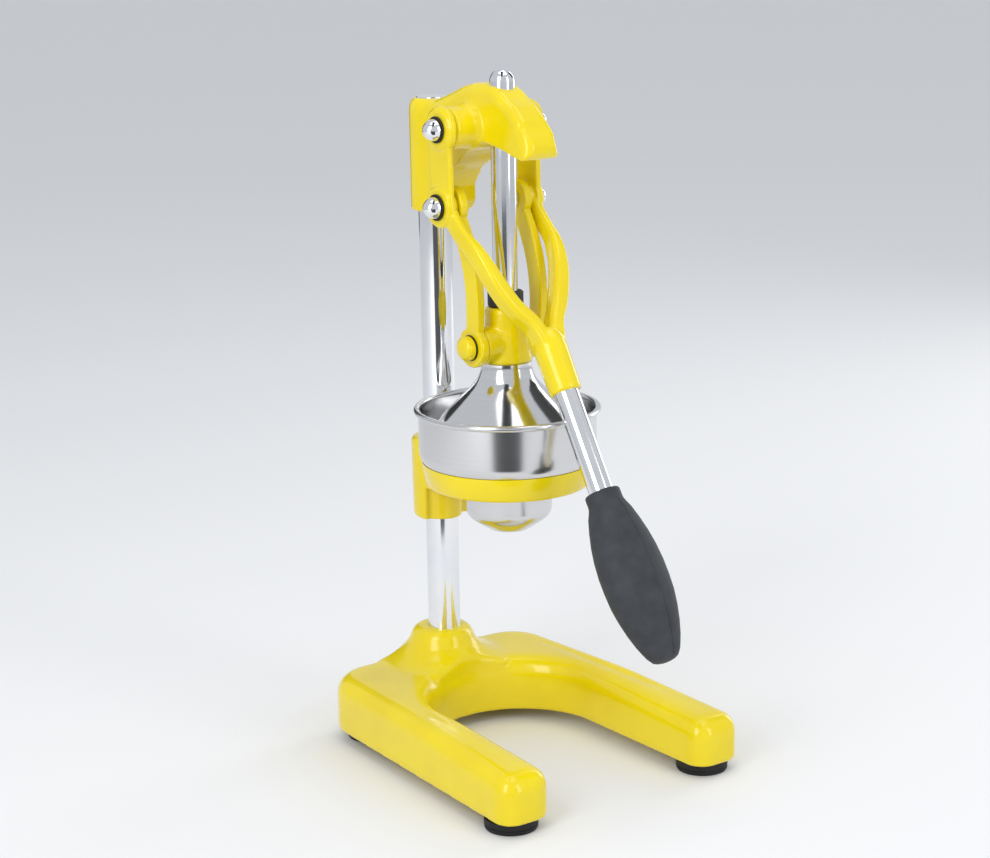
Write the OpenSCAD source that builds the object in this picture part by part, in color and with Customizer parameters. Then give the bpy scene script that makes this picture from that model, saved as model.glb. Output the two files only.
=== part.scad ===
// Upright lever citrus press, shown closed.
// A column on an arched base carries a head and a bowl holder. A forked
// lever turns on the head and pushes a rod with a press bell down into
// the bowl through two curved links.
// Height is +Z, the front is -Y, and the table is at z = 0.

/* [Column and rod] */
// Diameter of the upright column
column_d = 22; // [18:0.5:26]
// Height of the column's lower end above the table
column_foot_z = 22; // [20:1:30]
// Diameter of the press rod
rod_d = 16; // [12:0.5:18]
// Length of the rod, from its lower end to its domed top
rod_len = 180; // [176:1:200]

/* [Base] */
// Height of the rubber feet
foot_h = 7.5; // [5:0.5:10]
// Diameter of each rubber foot
foot_d = 34; // [26:1:40]
// Height of the casting's level top above the table
base_top_z = 45; // [38:1:55]
// Distance from the column's axis to the back face
base_back = 27; // [26:0.5:40]
// Half width of the casting at its back corners
base_half_w = 83.2; // [76:0.2:95]
// Corner radius of the casting in plan
base_corner_r = 29; // [22:1:40]
// Radius of the arch between the legs
arch_r = 58.4; // [50:0.2:60]
// How far the arch's centre lies in front of the rod's axis
arch_ahead = 8.3; // [4:0.1:12]
// Radius of the round shoulder along the top edges
shoulder_r = 12; // [8:0.5:12.5]
// Width of each leg at its front end
leg_w = 36; // [32:0.2:42]
// Corner radius at a leg's front end in plan
leg_end_r = 12.6; // [12.5:0.1:15]
// Distance from the rod's axis forward to the front of a leg
leg_ahead = 122.6; // [100:0.2:140]
// Distance from the middle plane to the outer face of a leg's front end
leg_out = 95.8; // [88:0.2:105]
// How far a leg's outer face stands inside the back corner
leg_tuck = 0.6; // [0.3:0.1:2]
// How far a leg's inner face stands inside the arch at its centre
arch_tuck = 1.4; // [1:0.1:3]
// Distance in front of the rod's axis at which the legs' tops start to fall
fall_ahead = 18; // [10:1:40]
// Angle at which the tops of the legs fall towards the front
leg_fall = 3.2; // [0:0.1:4]
// Wall thickness of the casting
base_wall = 5; // [4:0.5:7]
// Height of the hump round the column above the table
hump_top_z = 67.5; // [60:1:80]
// Radius of the hump where it starts to flare
hump_r = 21; // [18:0.5:24]
// Radius of the hump's foot
hump_foot_r = 45; // [40:1:52]
// How far the hump's centre lies behind the column's axis
hump_back = 3; // [0:0.5:4]
// Radius of the hump's rounded upper edge
hump_edge_r = 6.5; // [3:0.5:8]

/* [Bowl and holder] */
// Outer radius of the bowl's wall
bowl_r = 58.4; // [52:0.2:62]
// Distance between the bowl's wall and the column
bowl_gap = 7.6; // [5:0.1:12]
// Depth of the bowl from its rim to its flat bottom
bowl_depth = 42; // [34:1:46]
// Height of the bowl's flat bottom above the table
bowl_seat_z = 194; // [188:1:198]
// Thickness of the bowl's sheet
bowl_wall = 1; // [0.8:0.1:1.6]
// Corner radius at the bowl's bottom
bowl_corner_r = 11; // [6:0.5:14]
// Radius of the rolled bead on the rim
bead_r = 1.6; // [1.2:0.1:2.4]
// Outer radius of the cup under the bowl
sump_r = 28.3; // [22:0.2:32]
// Depth of that cup below the bowl's bottom
sump_depth = 40; // [30:1:46]
// Corner radius at the cup's bottom
sump_corner_r = 16; // [10:0.5:20]
// Radius of the juice outlet
outlet_r = 5; // [3:0.5:8]
// How far the holder ring's upper edge stands out past the bowl
ring_lip = 1.2; // [0.8:0.1:3]
// How much the ring's outer radius narrows down to its lower edge
ring_taper = 10.6; // [6:0.2:14]
// Height of the ring
ring_h = 19; // [15:0.5:24]
// How far the ring's upper edge stands above the bowl's bottom
ring_rise = 10; // [6:0.5:12]
// Thickness of the ring's floor
ring_floor = 5; // [4:0.5:7]
// Gap between the ring's floor and the cup under the bowl
sump_gap = 2.7; // [1:0.1:6]
// Outer radius of the clamp sleeve on the column
sleeve_r = 19.5; // [18.4:0.1:22]
// Height of the clamp sleeve
sleeve_h = 56; // [45:1:64]
// Height of the sleeve's top above the bowl's bottom
sleeve_rise = 8; // [4:0.5:12]
// Distance from the strainer's flange to the bowl's round corner
strainer_gap = 2.4; // [1:0.1:6]
// Height of the strainer cone
strainer_h = 34; // [24:1:36]
// Count of drain holes in the strainer's flange
strainer_holes = 24; // [12:1:36]

/* [Head] */
// Outer radius of the barrel on the column
barrel_r = 15.4; // [14.5:0.1:18]
// Height of the barrel's lower end above the table
barrel_low_z = 355.2; // [350:1:365]
// Height of the barrel
barrel_h = 71.6; // [66:0.2:80]
// How far the beak's tip lies in front of the rod's axis
beak_ahead = 43.2; // [36:0.2:52]
// Height of the hood's crest above the barrel's top
crest_rise = 16.4; // [12:0.2:22]
// Half width of the hood
hood_half_w = 13.5; // [12.5:0.2:16]
// Width of the bevel along the hood's upper edges
hood_bevel = 3; // [1:0.5:4]
// Distance from the rod's axis back to the lever's pivot
pivot_back = 18.5; // [16:0.5:24]
// Height of the lever's pivot above the table
pivot_z = 415; // [410:0.5:420]
// Radius of the cross boss at the lever's pivot
pivot_boss_r = 13.5; // [12:0.5:15]
// Half length of that cross boss
pivot_half_w = 31.3; // [28:0.1:31.4]
// Outer radius of the guide bush on the rod
guide_r = 10.9; // [10.7:0.1:11.5]

/* [Lever] */
// Distance between the lever's pivot and the links' upper pins
crank_len = 49.02; // [45:0.2:54]
// Angle at which the crank leans back from upright when closed
crank_lean = 1.75; // [0:0.25:4]
// Distance from the middle plane to the ears' inner faces
ear_in = 32; // [31.8:0.1:35]
// Thickness of the fork's ears
ear_t = 4; // [3:0.2:5]
// Radius of the ear's upper end
ear_top_r = 14; // [13:0.2:16]
// Radius of the ear's lower end
ear_low_r = 13; // [12.8:0.2:15]
// Width of the ear between its ends
ear_w = 21.5; // [18:0.5:24]
// Radius of the round pads outside the ears
pad_r = 12.7; // [11:0.1:12.8]
// Thickness of those pads
pad_t = 1.6; // [1:0.1:2]
// Radius of the pads inside the ears at the lower pins
inner_pad_r = 10.5; // [9:0.1:12]
// Thickness of the fork's arms across the press
arm_t = 6.2; // [5:0.1:6.4]
// Width of the fork's arms seen from the side
arm_w = 12.6; // [10:0.2:15]
// Angle between the handle and upright when closed
handle_angle = 31.3; // [25:0.1:38]
// Distance in front of the rod's axis to the crotch of the fork
crotch_ahead = 39.2; // [36:0.2:44]
// Height of the crotch of the fork above the table
crotch_z = 293.4; // [288:0.2:300]
// Length of the socket below the crotch
socket_len = 44.8; // [38:0.2:56]
// Outer radius of the socket at its upper end
socket_r = 11.5; // [10.5:0.1:13]
// Outer radius of the socket at its mouth
socket_end_r = 10.4; // [9.6:0.1:12]
// Diameter of the handle tube
tube_d = 16; // [13:0.5:17]
// Wall thickness of the handle tube
tube_wall = 1.5; // [1:0.1:2.5]
// Distance from the crotch to the upper end of the grip
grip_start = 107; // [100:1:120]
// Length of the grip
grip_len = 116.5; // [100:0.5:130]
// Half width of the grip at its widest
grip_half_w = 22.6; // [20:0.2:27]
// Half thickness of the grip at its thickest
grip_half_t = 17.5; // [14:0.5:19]
// Radius of the grip's collar
grip_collar_r = 12.2; // [11:0.1:14]
// Angle between the grip and the tube
grip_tilt = 2.3; // [0:0.1:4]

/* [Links and pins] */
// Distance between the two holes of a link
link_len = 90.7; // [86:0.1:96]
// Distance from the middle plane to a link's inner face
link_in = 22; // [21.8:0.1:24]
// Thickness of a link
link_t = 6; // [4:0.1:6]
// Width of a link at mid length
link_w = 13.2; // [11:0.2:18]
// How far a link bows forward
link_bow = 10; // [5:0.1:12]
// Radius of a link's ends
link_eye_r = 12.9; // [11:0.1:13.4]
// Radius of the lever's and the links' upper pins
pin_r = 5; // [4:0.1:6]
// Radius of the domed heads outside the ears
dome_r = 7; // [6.5:0.1:8]
// Height of those heads, which run to a blunt point
dome_h = 8.6; // [8:0.1:10]
// Radius of the dark washers under the domed heads
washer_r = 8.4; // [8:0.1:10]
// Thickness of those washers
washer_t = 1.5; // [1:0.1:2]
// Radius of the links' lower pins
trunnion_r = 6; // [5:0.1:7]
// Radius of the caps on the lower pins
cap_r = 7.8; // [7:0.1:9]
// Length of the straight part of those caps
cap_len = 3.4; // [2:0.1:5]

/* [Crosshead and bell] */
// Radius of the crosshead's barrel
cross_r = 13.5; // [11.5:0.1:15]
// Height of the crosshead's barrel above its cross axis
cross_up = 24; // [18:0.5:28]
// Depth of the crosshead below its cross axis
cross_down = 11.5; // [10:0.5:16]
// Radius of the crosshead's lower rim
cross_rim_r = 17; // [15:0.1:19]
// Height of that rim
cross_rim_h = 4; // [2:0.2:6]
// Height over which the crosshead narrows above the rim
cross_taper_h = 18; // [6:0.5:22]
// Half length of the crosshead's cross boss
cross_half_w = 21.7; // [20:0.1:21.7]
// Radius of that cross boss
cross_boss_r = 12.3; // [10:0.1:12.4]
// Depth of the rod's socket in the crosshead below the cross axis
rod_seat = 5.5; // [3:0.5:7]
// Outer radius of the stop collar on the rod
collar_r = 11.5; // [10.5:0.1:13]
// Height of the stop collar
collar_h = 9.6; // [6:0.2:12]
// Outer radius of the bell's neck
bell_neck_r = 16.3; // [14:0.1:18]
// Height of the bell's neck
bell_neck_h = 5.5; // [4:0.5:12]
// Height of the flare between the neck and the bell's cone
bell_flare_h = 12; // [8:0.5:14]
// Width of that flare
bell_flare_w = 5.6; // [4:0.1:7]
// Gap between the bell's rim and the bowl's wall
bell_gap = 4.4; // [3:0.1:10]
// Angle of the bell's cone from level
bell_angle = 46.3; // [40:0.1:48]
// Thickness of the bell's sheet
bell_wall = 1.2; // [0.8:0.1:1.6]

/* [Fasteners] */
// Diameter of the bolt under the column
column_bolt_d = 10; // [8:0.5:12]
// Diameter of the foot screws
foot_screw_d = 5; // [4:0.5:6]
// Diameter of the set screws
set_screw_d = 6; // [4:0.5:6]
// Diameter of the screw that holds the bell
bell_screw_d = 8; // [6:0.5:8]

/* [Clearances] */
// Radial clearance of parts that turn or slide on one another
run_fit = 0.05; // [0.03:0.01:0.1]
// Radial clearance of parts that are fitted once
seat_fit = 0.02; // [0.01:0.01:0.1]
// Clearance between parts that pass one another
gap = 0.3; // [0.2:0.05:0.5]

/* [Hidden] */
over = 1; // overrun of cuts
round_n = 96; // smoothness of round parts
$fn = round_n;

column_r = column_d / 2;
rod_r = rod_d / 2;
tube_r = tube_d / 2;
reach = bowl_r + bowl_gap + column_r;

// Pivots of the linkage, as [y, z] with the rod's axis at y = 0
p1 = [pivot_back, pivot_z];
p2 = p1 + crank_len * [sin(crank_lean), -cos(crank_lean)];
p3 = [0, p2.y - sqrt(link_len * link_len - p2.x * p2.x)];
link_lean = atan(p2.x / (p2.y - p3.y));

// Outer stations of the lever across the press
ear_out = ear_in + ear_t;
pad_out = ear_out + pad_t;
washer_in = pad_out + gap / 2;
washer_out = washer_in + washer_t;
link_out = link_in + link_t;
cap_ring_t = 1;
inner_pad_in = link_out + gap;

// Handle axis, and the grip that leans from it
handle_dir = [-sin(handle_angle), -cos(handle_angle)];
crotch = [-crotch_ahead, crotch_z];
grip_at = crotch + grip_start * handle_dir;
grip_angle = handle_angle + grip_tilt;
grip_dir = [-sin(grip_angle), -cos(grip_angle)];
grip_out = [-cos(grip_angle), sin(grip_angle)];
// Stations along the grip, half widths and half thicknesses
grip_station_shares = [0, 0.03, 0.06, 0.1, 0.16, 0.23, 0.31, 0.39, 0.48, 0.56, 0.65, 0.73, 0.81, 0.88, 0.93, 0.97, 1];
grip_width_shares = [0, 0, 0, 0.06, 0.31, 0.55, 0.78, 0.92, 1, 1, 0.94, 0.78, 0.54, 0.27, 0.04, -0.25, -0.86];
grip_thick_shares = [0, 0, 0, 0.06, 0.31, 0.55, 0.78, 0.92, 1, 1, 0.94, 0.72, 0.4, 0, -0.4, -0.85, -1.8];
function grip_w(i) = grip_collar_r + grip_width_shares[i] * (grip_half_w - grip_collar_r);
function grip_t(i) = grip_collar_r + grip_thick_shares[i] * (grip_half_t - grip_collar_r);
function grip_s(i) = grip_station_shares[i] * grip_len;
grip_front_y = min([for (i = [0:len(grip_station_shares) - 1])
    (grip_at + grip_s(i) * grip_dir + grip_t(i) * grip_out).x]);

// The origin lies under the middle of the whole press
back_y = reach + base_back;
shift_y = -(back_y + grip_front_y) / 2;

// Holder, bowl and bell radii and heights
bowl_top_z = bowl_seat_z + bowl_depth;
ring_r = bowl_r + ring_lip;
ring_low_r = ring_r - ring_taper;
ring_bore_r = sump_r + sump_gap;
strainer_r = bowl_r - bowl_corner_r - strainer_gap;
bell_rim_r = bowl_r - bowl_wall - bell_gap;
ring_top_z = bowl_seat_z + ring_rise;
ring_low_z = ring_top_z - ring_h;
sleeve_top_z = bowl_seat_z + sleeve_rise;
sleeve_low_z = sleeve_top_z - sleeve_h;
sump_low_z = bowl_seat_z - sump_depth;
bell_top_z = p3.y - cross_down;
rod_low_z = p3.y - rod_seat;
rod_top_z = rod_low_z + rod_len;

// Steel, paint and rubber colours
yellow = [0.94, 0.85, 0.02];
chrome = [0.82, 0.83, 0.85];
steel = [0.72, 0.72, 0.72];
rubber = [0.24, 0.25, 0.27];
black = [0.08, 0.08, 0.08];
bronze = [0.72, 0.52, 0.25];

// Helpers:

// Moves a child from the rod's frame to the press's own frame
module placed() {
    translate([0, shift_y, 0])
        children();
}

// Stands a child on the column's axis
module at_column(z) {
    translate([0, reach, z])
        children();
}

// Lays a child's Z axis along X, centred at the pivot p
module across(p, x = 0) {
    translate([x, p.x, p.y])
        rotate([0, 90, 0])
            children();
}

// A disc or bar along X from x0 to x1 about the pivot p, on one side
module side_disc(p, x0, x1, r, side) {
    translate([side > 0 ? x0 : -x1, p.x, p.y])
        rotate([0, 90, 0])
            cylinder(h = x1 - x0, r = r);
}

// A [y, z] outline extruded along X from x0 to x1
module side_plate(x0, x1) {
    translate([x0, 0, 0])
        rotate([90, 0, 90])
            linear_extrude(x1 - x0)
                children();
}

// Both sides of the press
module both_sides() {
    for (side = [-1, 1])
        scale_side(side)
            children();
}

module scale_side(side) {
    if (side > 0)
        children();
    else
        mirror([1, 0, 0])
            children();
}

// Section of a bar with round upper edges, centred on x = 0
module shoulder_section(w, h, r) {
    translate([-w / 2, 0])
        square([w, h - r]);
    translate([r - w / 2, 0])
        square([w - 2 * r, h]);
    for (x = [r - w / 2, w / 2 - r])
        translate([x, h - r])
            circle(r);
}

// The right half of that section, for turning
module shoulder_half(w, h, r) {
    square([w / 2, h - r]);
    square([w / 2 - r, h]);
    intersection() {
        translate([w / 2 - r, h - r])
            circle(r);
        square([w, h]);
    }
}

// Straight bar along -Y from the origin to y = -l, whose end has two
// corners of radius rc when rc is not zero
module leg_bar(w, h, r, l, rc) {
    rotate([90, 0, 0])
        linear_extrude(l - rc)
            shoulder_section(w, h, r);
    if (rc > 0) {
        translate([rc - w / 2, 0, 0])
            rotate([90, 0, 90])
                linear_extrude(w - 2 * rc)
                    mirror([1, 0])
                        translate([l - 2 * rc, 0])
                            shoulder_half_at(4 * rc, h, r);
        for (x = [rc - w / 2, w / 2 - rc])
            translate([x, rc - l, 0])
                rotate_extrude()
                    shoulder_half(2 * rc, h, r);
    }
}

// Half of the section, measured from its own left edge
module shoulder_half_at(w, h, r) {
    shoulder_half(w, h, r);
}

// Base:

base_h = base_top_z - foot_h;
corner_y = back_y - base_corner_r;
corner_x = base_half_w - base_corner_r;
bar_share = 0.72; // width of the two bars that a leg is made of
bar_w = bar_share * leg_w;
leg_step = 0.25;
leg_splay = atan((leg_out - base_half_w + leg_tuck) / (leg_ahead + corner_y));
leg_splay_in = atan((leg_out - leg_w - arch_r + arch_tuck) / (leg_ahead - arch_ahead));
hump_h = hump_top_z - foot_h;
hump_flare_r = ((hump_foot_r - hump_r) * (hump_foot_r - hump_r)
    + (hump_top_z - hump_edge_r - base_top_z) * (hump_top_z - hump_edge_r - base_top_z))
    / (2 * (hump_top_z - hump_edge_r - base_top_z));
boss_r = column_r + 6 * base_wall / 5;
foot_boss_r = foot_screw_d + base_wall / 2;
foot_y = foot_d / 2 + base_wall / 2 - leg_ahead;
foot_x = leg_out - leg_w / 2 - (foot_y + leg_ahead) * tan(leg_splay) / 2;
foot_places = [
    [foot_x, foot_y], [-foot_x, foot_y],
    [corner_x + base_wall, corner_y + base_wall],
    [-corner_x - base_wall, corner_y + base_wall]];

// One leg: two bars that overlap, one along its outer face and one along
// its inner face, each sized down by t
module base_leg(t) {
    leg_half(leg_out - bar_w / 2, leg_splay, t);
    leg_half(leg_out - leg_w + bar_w / 2, leg_splay_in, t);
}

// One of those bars, from the back corner to its front end at x. Its
// falling part stands in a little from its level part.
module leg_half(x, splay, t) {
    w = bar_w - 2 * t;
    h = base_h - t;
    r = shoulder_r - t;
    s = leg_step;
    back_l = (fall_ahead + corner_y) / cos(splay);
    front_l = (leg_ahead - fall_ahead) / cos(splay);
    // level part beside the back corner
    translate([x - (leg_ahead + corner_y) * tan(splay), corner_y, 0])
        rotate([0, 0, splay])
            leg_bar(w, h, r, back_l, 0);
    // part that falls to the front
    translate([x - (leg_ahead - fall_ahead) * tan(splay), -fall_ahead, 0])
        rotate([0, 0, splay])
            intersection() {
                rotate([leg_fall, 0, 0])
                    translate([0, 2 * over, -shoulder_r])
                        leg_bar(w - 2 * s, h + shoulder_r - s, r - s, front_l + 2 * over - t, leg_end_r - t);
                translate([-leg_w, -front_l - leg_w, 0])
                    cube([2 * leg_w, front_l + 2 * leg_w, base_top_z]);
            }
}

// The back part with its round corners, sized down by t on each face
module base_back_body(t) {
    r = shoulder_r - t;
    rc = base_corner_r - t;
    h = base_h - t;
    y0 = t - arch_ahead;
    back = back_y - t;
    linear_extrude(h - r)
        back_outline(rc, back, y0);
    linear_extrude(h)
        back_outline(rc - r, back - r, y0);
    // round edges along the back and both sides
    translate([-corner_x, back - r, h - r])
        rotate([0, 90, 0])
            cylinder(h = 2 * corner_x, r = r);
    for (side = [-1, 1]) {
        translate([side * (corner_x + rc - r), corner_y, h - r])
            rotate([90, 0, 0])
                cylinder(h = corner_y - y0, r = r);
        translate([side * corner_x, corner_y, 0])
            rotate_extrude()
                shoulder_half(2 * rc, h, r);
    }
}

module back_outline(rc, back, y0) {
    translate([-corner_x - rc, y0])
        square([2 * (corner_x + rc), corner_y - y0]);
    translate([-corner_x, y0])
        square([2 * corner_x, back - y0]);
    for (side = [-1, 1])
        translate([side * corner_x, corner_y])
            circle(rc);
}

// The space under the arch, with its rounded upper edge
module arch_cut(r, h, edge) {
    translate([0, -arch_ahead, 0])
        rotate_extrude()
            difference() {
                polygon([[0, -over], [r, -over], [r, h - edge], [r + edge, h - edge],
                    [r + edge, h + over], [0, h + over]]);
                translate([r + edge, h - edge])
                    circle(edge);
            }
}

// The back part's outline carried up to the hump with a large round edge
module tall_body() {
    r = base_corner_r - shoulder_r / 6;
    linear_extrude(hump_h - r)
        back_outline(base_corner_r, back_y, -arch_ahead);
    linear_extrude(hump_h)
        back_outline(base_corner_r - r, back_y - r, -arch_ahead);
    translate([-corner_x, back_y - r, hump_h - r])
        rotate([0, 90, 0])
            cylinder(h = 2 * corner_x, r = r);
}

// The flared hump round the column's foot
module hump() {
    edge_c = [hump_r - hump_edge_r, hump_h - hump_edge_r];
    intersection() {
        rotate_extrude() {
            difference() {
                polygon([[0, 0], [hump_foot_r, 0], [hump_foot_r, base_h],
                    [hump_r, edge_c.y], [0, edge_c.y]]);
                translate([hump_foot_r, base_h + hump_flare_r])
                    circle(hump_flare_r);
            }
            square([edge_c.x, hump_h]);
            intersection() {
                translate(edge_c)
                    circle(hump_edge_r);
                translate([0, base_h])
                    square([hump_r, hump_h]);
            }
        }
        translate([0, -reach - hump_back, 0])
            tall_body();
    }
}

module base_casting() {
    color(yellow)
        placed()
            translate([0, 0, foot_h])
                difference() {
                    union() {
                        difference() {
                            base_back_body(0);
                            arch_cut(arch_r, base_h, shoulder_r - leg_step);
                        }
                        difference() {
                            translate([0, reach + hump_back, 0])
                                hump();
                            arch_cut(arch_r, hump_h, hump_edge_r);
                        }
                        both_sides()
                            base_leg(0);
                    }
                    difference() {
                        translate([0, 0, -over])
                            union() {
                                difference() {
                                    base_back_body(base_wall);
                                    translate([0, -arch_ahead, -over])
                                        cylinder(h = base_top_z, r = arch_r + base_wall + shoulder_r / 2);
                                }
                                both_sides()
                                    base_leg(base_wall + leg_step);
                            }
                        at_column(-over)
                            cylinder(h = base_top_z, r = boss_r);
                        for (p = foot_places)
                            translate([p.x, p.y, -over])
                                cylinder(h = base_top_z, r = foot_boss_r);
                    }
                    // column socket, bolt hole and counterbore
                    at_column(column_foot_z - foot_h)
                        cylinder(h = hump_h, r = column_r + seat_fit);
                    at_column(-over)
                        cylinder(h = hump_h, r = column_bolt_d / 2 + gap);
                    at_column(-over)
                        cylinder(h = column_foot_z - foot_h - column_bolt_d + over + gap, r = 6 * column_bolt_d / 5);
                    for (p = foot_places)
                        translate([p.x, p.y, -over])
                            cylinder(h = foot_screw_l, r = foot_screw_d / 2 + seat_fit);
                }
}

foot_screw_l = 3 * foot_screw_d;
foot_head_r = foot_screw_d;
foot_head_h = foot_h / 2;

module rubber_feet() {
    color(black)
        placed()
            for (p = foot_places)
                translate([p.x, p.y, 0])
                    difference() {
                        cylinder(h = foot_h, r1 = foot_d / 2 - gap, r2 = foot_d / 2);
                        translate([0, 0, -over])
                            cylinder(h = foot_head_h + over + gap, r = foot_head_r + gap);
                        translate([0, 0, -over])
                            cylinder(h = foot_h + 2 * over, r = foot_screw_d / 2 + seat_fit);
                    }
}

module foot_screws() {
    color(steel)
        placed()
            for (p = foot_places)
                translate([p.x, p.y, gap])
                    difference() {
                        union() {
                            cylinder(h = foot_head_h, r = foot_head_r);
                            cylinder(h = foot_h + foot_screw_l - 3 * foot_screw_d / 5, r = foot_screw_d / 2);
                        }
                        translate([0, 0, -over])
                            cylinder(h = foot_head_h / 2 + over, r = foot_screw_d / 4, $fn = 6);
                    }
}

bolt_head_h = column_bolt_d * 0.6;
column_washer_t = column_bolt_d / 5;
bolt_seat_z = column_foot_z - column_bolt_d + gap;

module column() {
    color(chrome)
        placed()
            difference() {
                at_column(column_foot_z)
                    cylinder(h = barrel_low_z + barrel_h - column_foot_z, r = column_r);
                at_column(column_foot_z - over)
                    cylinder(h = 3 * column_bolt_d + over, r = column_bolt_d / 2 + seat_fit);
            }
}

module column_bolt() {
    color(steel)
        placed()
            at_column(bolt_seat_z - column_washer_t) {
                translate([0, 0, -bolt_head_h])
                    cylinder(h = bolt_head_h, r = column_bolt_d * 0.9, $fn = 6);
                cylinder(h = 3 * column_bolt_d + bolt_head_h, r = column_bolt_d / 2);
            }
}

module column_washer() {
    color(steel)
        placed()
            at_column(bolt_seat_z - column_washer_t)
                difference() {
                    cylinder(h = column_washer_t, r = 11 * column_bolt_d / 10);
                    translate([0, 0, -over])
                        cylinder(h = column_washer_t + 2 * over, r = column_bolt_d / 2 + seat_fit);
                }
}

// Bowl, holder and strainer:

// Outline of the bowl's outside as [r, z] shapes, larger by t
module bowl_outside(t) {
    corner = [bowl_r - bowl_corner_r, bowl_seat_z + bowl_corner_r];
    translate([0, bowl_seat_z - t])
        square([corner.x, bowl_corner_r + t]);
    translate([0, corner.y])
        square([bowl_r + t, bowl_top_z - bead_r - corner.y]);
    intersection() {
        translate(corner)
            circle(bowl_corner_r + t);
        translate([0, bowl_seat_z - t])
            square([bowl_r + t, bowl_corner_r + 2 * t]);
    }
}

// Outline of the cup's outside, larger by t
module sump_outside(t) {
    corner = [sump_r - sump_corner_r, sump_low_z + sump_corner_r];
    translate([0, sump_low_z - t])
        square([corner.x, sump_corner_r + t]);
    translate([0, corner.y])
        square([sump_r + t, bowl_seat_z - corner.y + bowl_wall]);
    intersection() {
        translate(corner)
            circle(sump_corner_r + t);
        translate([0, sump_low_z - t])
            square([sump_r + t, sump_corner_r + 2 * t]);
    }
}

module juice_bowl() {
    color(steel)
        placed()
            rotate_extrude() {
                difference() {
                    union() {
                        bowl_outside(0);
                        sump_outside(0);
                    }
                    difference() {
                        bowl_outside(-bowl_wall);
                        translate([0, bowl_top_z])
                            square([bowl_r, over]);
                    }
                    sump_outside(-bowl_wall);
                    translate([0, bowl_top_z - bead_r - over])
                        square([bowl_r - bowl_wall, 2 * over]);
                    translate([0, sump_low_z - over])
                        square([outlet_r, 2 * over]);
                }
                translate([bowl_r + bead_r - bowl_wall, bowl_top_z - bead_r])
                    circle(bead_r);
            }
}

// Ring that carries the bowl, as an [r, z] outline
module ring_outline() {
    lip = ring_floor / 2;
    polygon([
        [ring_bore_r, bowl_seat_z - ring_floor], [ring_low_r - ring_floor, bowl_seat_z - ring_floor],
        [ring_low_r - ring_floor, ring_low_z], [ring_low_r - lip / 2, ring_low_z],
        [ring_low_r + lip / 2, ring_low_z + lip], [ring_r, ring_top_z],
        [ring_r - ring_floor, ring_top_z], [ring_r - 2 * ring_floor, bowl_seat_z],
        [ring_bore_r, bowl_seat_z]]);
}

sleeve_edge = 2; // bevel of the sleeve's ends
web_half_w = sleeve_r - sleeve_edge / 2;

module cup_holder() {
    inner_r = column_r + 4 * base_wall / 5;
    pocket_w = 2 * (sleeve_r - base_wall);
    pocket_top = ring_low_z - base_wall;
    color(yellow)
        placed()
            difference() {
                union() {
                    difference() {
                        union() {
                            rotate_extrude()
                                ring_outline();
                            // clamp sleeve with bevelled ends
                            at_column(sleeve_low_z)
                                rotate_extrude()
                                    polygon([[0, 0], [sleeve_r - 3 * sleeve_edge / 2, 0],
                                        [sleeve_r - sleeve_edge / 2, sleeve_edge],
                                        [sleeve_r, sleeve_h - sleeve_edge],
                                        [sleeve_r - sleeve_edge, sleeve_h], [0, sleeve_h]]);
                            // web that joins the sleeve to the ring
                            translate([-web_half_w, ring_r - 2 * ring_floor, ring_low_z - base_wall])
                                cube([2 * web_half_w, reach - ring_r + 2 * ring_floor,
                                    ring_h + base_wall - sleeve_edge / 2]);
                        }
                        // pocket in the sleeve's front, open below, with an arched top
                        translate([-pocket_w / 2, reach - sleeve_r - over, sleeve_low_z - over])
                            cube([pocket_w, sleeve_r - base_wall / 2 + over, pocket_top - sleeve_low_z - base_wall + over]);
                        translate([0, reach - base_wall / 2, pocket_top - base_wall])
                            rotate([90, 0, 0])
                                intersection() {
                                    translate([0, -pocket_w / 2 + base_wall, 0])
                                        cylinder(h = sleeve_r, r = pocket_w / 2);
                                    translate([-pocket_w / 2, -over, 0])
                                        cube([pocket_w, pocket_w, sleeve_r]);
                                }
                    }
                    at_column(sleeve_low_z)
                        cylinder(h = pocket_top - sleeve_low_z, r = inner_r);
                    // rib under the ring
                    side_plate(-base_wall / 2, base_wall / 2)
                        polygon([[reach - column_r, sleeve_low_z + base_wall], [reach, sleeve_low_z],
                            [reach, ring_low_z], [ring_bore_r + sleeve_edge / 2, ring_low_z + base_wall],
                            [ring_bore_r + sleeve_edge / 2, ring_low_z - sleeve_edge / 2], [reach - sleeve_r - base_wall, sleeve_low_z + 3 * base_wall]]);
                }
                // room for the bowl, and for its cup
                rotate_extrude() {
                    bowl_outside(gap / 4);
                    translate([0, bowl_seat_z + bowl_corner_r])
                        square([bowl_r + gap, sleeve_h]);
                    translate([0, sleeve_low_z - over])
                        square([ring_bore_r, sleeve_h + over]);
                }
                at_column(sleeve_low_z - over)
                    cylinder(h = sleeve_h + 2 * over, r = column_r + seat_fit);
                for (z = holder_screw_z)
                    translate([0, reach, z])
                        rotate([-90, 0, 0])
                            cylinder(h = sleeve_r + over, r = set_screw_d / 2 + seat_fit);
            }
}

holder_screw_z = [sleeve_low_z + sleeve_h / 4, sleeve_low_z + 3 * sleeve_h / 4];
head_screw_z = [barrel_low_z + barrel_h / 4, barrel_low_z + barrel_h / 2];
barrel_wall = barrel_r - column_r;
hood_h = barrel_h + crest_rise;
hood_len = reach + beak_ahead;

// Socket set screw along Y between two distances from the column's axis
module set_screw(z, r0, r1) {
    translate([0, reach + r0, z])
        rotate([-90, 0, 0])
            difference() {
                cylinder(h = r1 - r0, r = set_screw_d / 2);
                translate([0, 0, (r1 - r0) / 2])
                    cylinder(h = r1 - r0, r = set_screw_d / 4, $fn = 6);
            }
}

module holder_set_screws() {
    color(steel)
        placed()
            for (z = holder_screw_z)
                set_screw(z, column_r + seat_fit, sleeve_r - set_screw_d / 6);
}

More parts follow.
